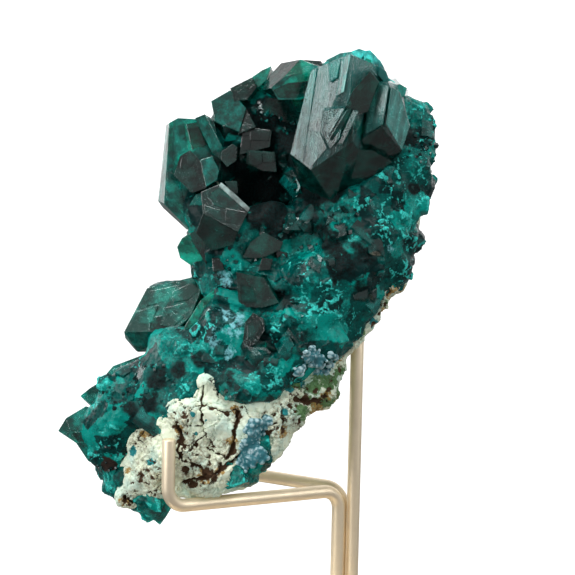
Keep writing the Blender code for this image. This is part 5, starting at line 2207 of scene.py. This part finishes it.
class Stand:
    """The bent wire stand and its base plate."""

    base_thickness: float = 5.0
    sink: float = 3.5
    front_leg: tuple[float, float] = (8.5, 2.6)
    rear_leg: tuple[float, float] = (9.3, 5.3)
    upright: tuple[float, float] = (10.8, 3.6)
    arm_height: float = 32.2
    rear_arm_height: float = 31.8
    front_arm_rise: float = 1.4
    front_arm_end: tuple[float, float] = (-16.9, -15.4)
    rear_arm_end: tuple[float, float] = (-13.0, 18.2)
    prong_top: float = 43.8
    rear_prong_top: float = 40.0
    upright_top: float = 58.6

    def rods(self) -> tuple[Rod, ...]:
        """Work out the stand's wires.

        Returns:
            The front arm, the rear arm and the upright.
        """
        low = self.base_thickness - self.sink
        front_height = self.arm_height + self.front_arm_rise
        front = (
            (*self.front_leg, low), (*self.front_leg, self.arm_height),
            (*self.front_arm_end, front_height), (*self.front_arm_end, self.prong_top),
        )
        rear = (
            (*self.rear_leg, low), (*self.rear_leg, self.rear_arm_height),
            (*self.rear_arm_end, self.rear_arm_height), (*self.rear_arm_end, self.rear_prong_top),
        )
        upright = ((*self.upright, low), (*self.upright, self.upright_top))
        return (
            Rod("rod_front_arm", "stand_front_arm", front),
            Rod("rod_rear_arm", "stand_rear_arm", rear),
            Rod("rod_upright", "stand_upright", upright),
        )

    def build(self, nodes: dict) -> None:
        """Build the rods and dress the base plate.

        Args:
            nodes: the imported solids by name.
        """
        for rod in self.rods():
            Specimen.place(rod.build(), rod.node, "stand_metal")
        base = nodes["stand_base"]
        base.data.materials.clear()
        base.data.materials.append(MetalFinish("satin_base", (0.88, 0.77, 0.61), 0.48).material())


# The studio

@dataclass(frozen=True)
class SoftBox:
    """A large soft light.

    Attributes:
        name: name of the light.
        place: where it stands, in metres.
        size: its two sides, in metres.
        power: its power, in watts.
    """

    name: str
    place: Place
    size: tuple[float, float]
    power: float

    def build(self) -> None:
        """Add the light, aimed at the specimen."""
        Bench.clear_selection()
        bpy.ops.object.light_add(type="AREA", location=self.place)
        light = bpy.context.object
        light.name = self.name
        light.data.shape = "RECTANGLE"
        light.data.size, light.data.size_y = self.size
        light.data.energy = self.power
        aim = Vector((0.0, 0.0, 0.065)) - Vector(self.place)
        light.rotation_mode = "QUATERNION"
        light.rotation_quaternion = aim.to_track_quat("-Z", "Y")
        light.visible_camera = False


class Studio:
    """The floor, the lights and the surroundings."""

    lights: tuple[SoftBox, ...] = (
        SoftBox("light_top", (-0.10, -0.12, 1.0), (0.6, 0.5), 8.0),
        SoftBox("light_left", (-0.79, -0.64, 0.27), (0.55, 0.6), 6.0),
        SoftBox("light_right", (0.80, -0.30, 0.45), (0.35, 0.5), 2.5),
        SoftBox("light_front", (0.20, -1.0, 0.80), (1.8, 0.9), 2.0),
        SoftBox("light_rim", (-0.85, 0.45, 0.30), (0.4, 0.5), 3.0),
    )

    def build(self) -> None:
        """Build the studio."""
        self.add_floor()
        self.set_world()
        for light in self.lights:
            light.build()
        scene = bpy.context.scene
        scene.view_settings.view_transform = "Standard"
        scene.cycles.use_denoising = True

    @staticmethod
    def add_floor() -> None:
        """Add the pale floor, which shows white to the eye and grey to the stone."""
        Bench.clear_selection()
        bpy.ops.mesh.primitive_circle_add(vertices=96, radius=0.6, fill_type="NGON")
        floor = bpy.context.object
        floor.name = "floor"
        material = bpy.data.materials.new("pale_floor")
        material.use_nodes = True
        nodes = Nodes(material.node_tree)
        eye = nodes.add("LightPath").outputs["Is Camera Ray"]
        nodes.feed(
            material.node_tree.nodes["Principled BSDF"], Base_Color=(0.14, 0.14, 0.14, 1.0), Roughness=0.9,
            Emission_Color=(1.0, 1.0, 1.0, 1.0), Emission_Strength=nodes.math("MULTIPLY", eye, 1.05))
        floor.data.materials.append(material)

    @staticmethod
    def set_world() -> None:
        """Surround the object with white behind and grey on the viewer's side."""
        world = bpy.data.worlds.new("studio")
        bpy.context.scene.world = world
        world.use_nodes = True
        nodes = Nodes(world.node_tree)
        direction = nodes.add("TexCoord").outputs["Generated"]
        parts = nodes.feed(nodes.add("SeparateXYZ"), Vector=direction).outputs
        behind = nodes.step(parts["Y"], 0.25, 0.8)
        level = nodes.step(nodes.math("ABSOLUTE", parts["Z"]), 0.45, 0.1)
        around = nodes.plus(0.05, level, 0.38)
        glow = nodes.math("ADD", nodes.plus(behind, nodes.step(parts["Z"], 0.3, 0.95), 0.3), around)
        eye = nodes.add("LightPath").outputs["Is Camera Ray"]
        seen = nodes.math("MAXIMUM", glow, nodes.math("MULTIPLY", eye, 1.1))
        nodes.feed(world.node_tree.nodes["Background"], Color=(1.0, 1.0, 1.0, 1.0), Strength=seen)


def main() -> None:
    """Build the dressed specimen, its stand and the studio."""
    logging.basicConfig(level=logging.INFO, format="%(name)s %(message)s")
    noise.seed_set(NOISE_SEED)
    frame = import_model()
    Specimen().build()
    Stand().build(frame["nodes"])
    Studio().build()
    VIEW.add_camera()


if __name__ == "__main__":
    main()
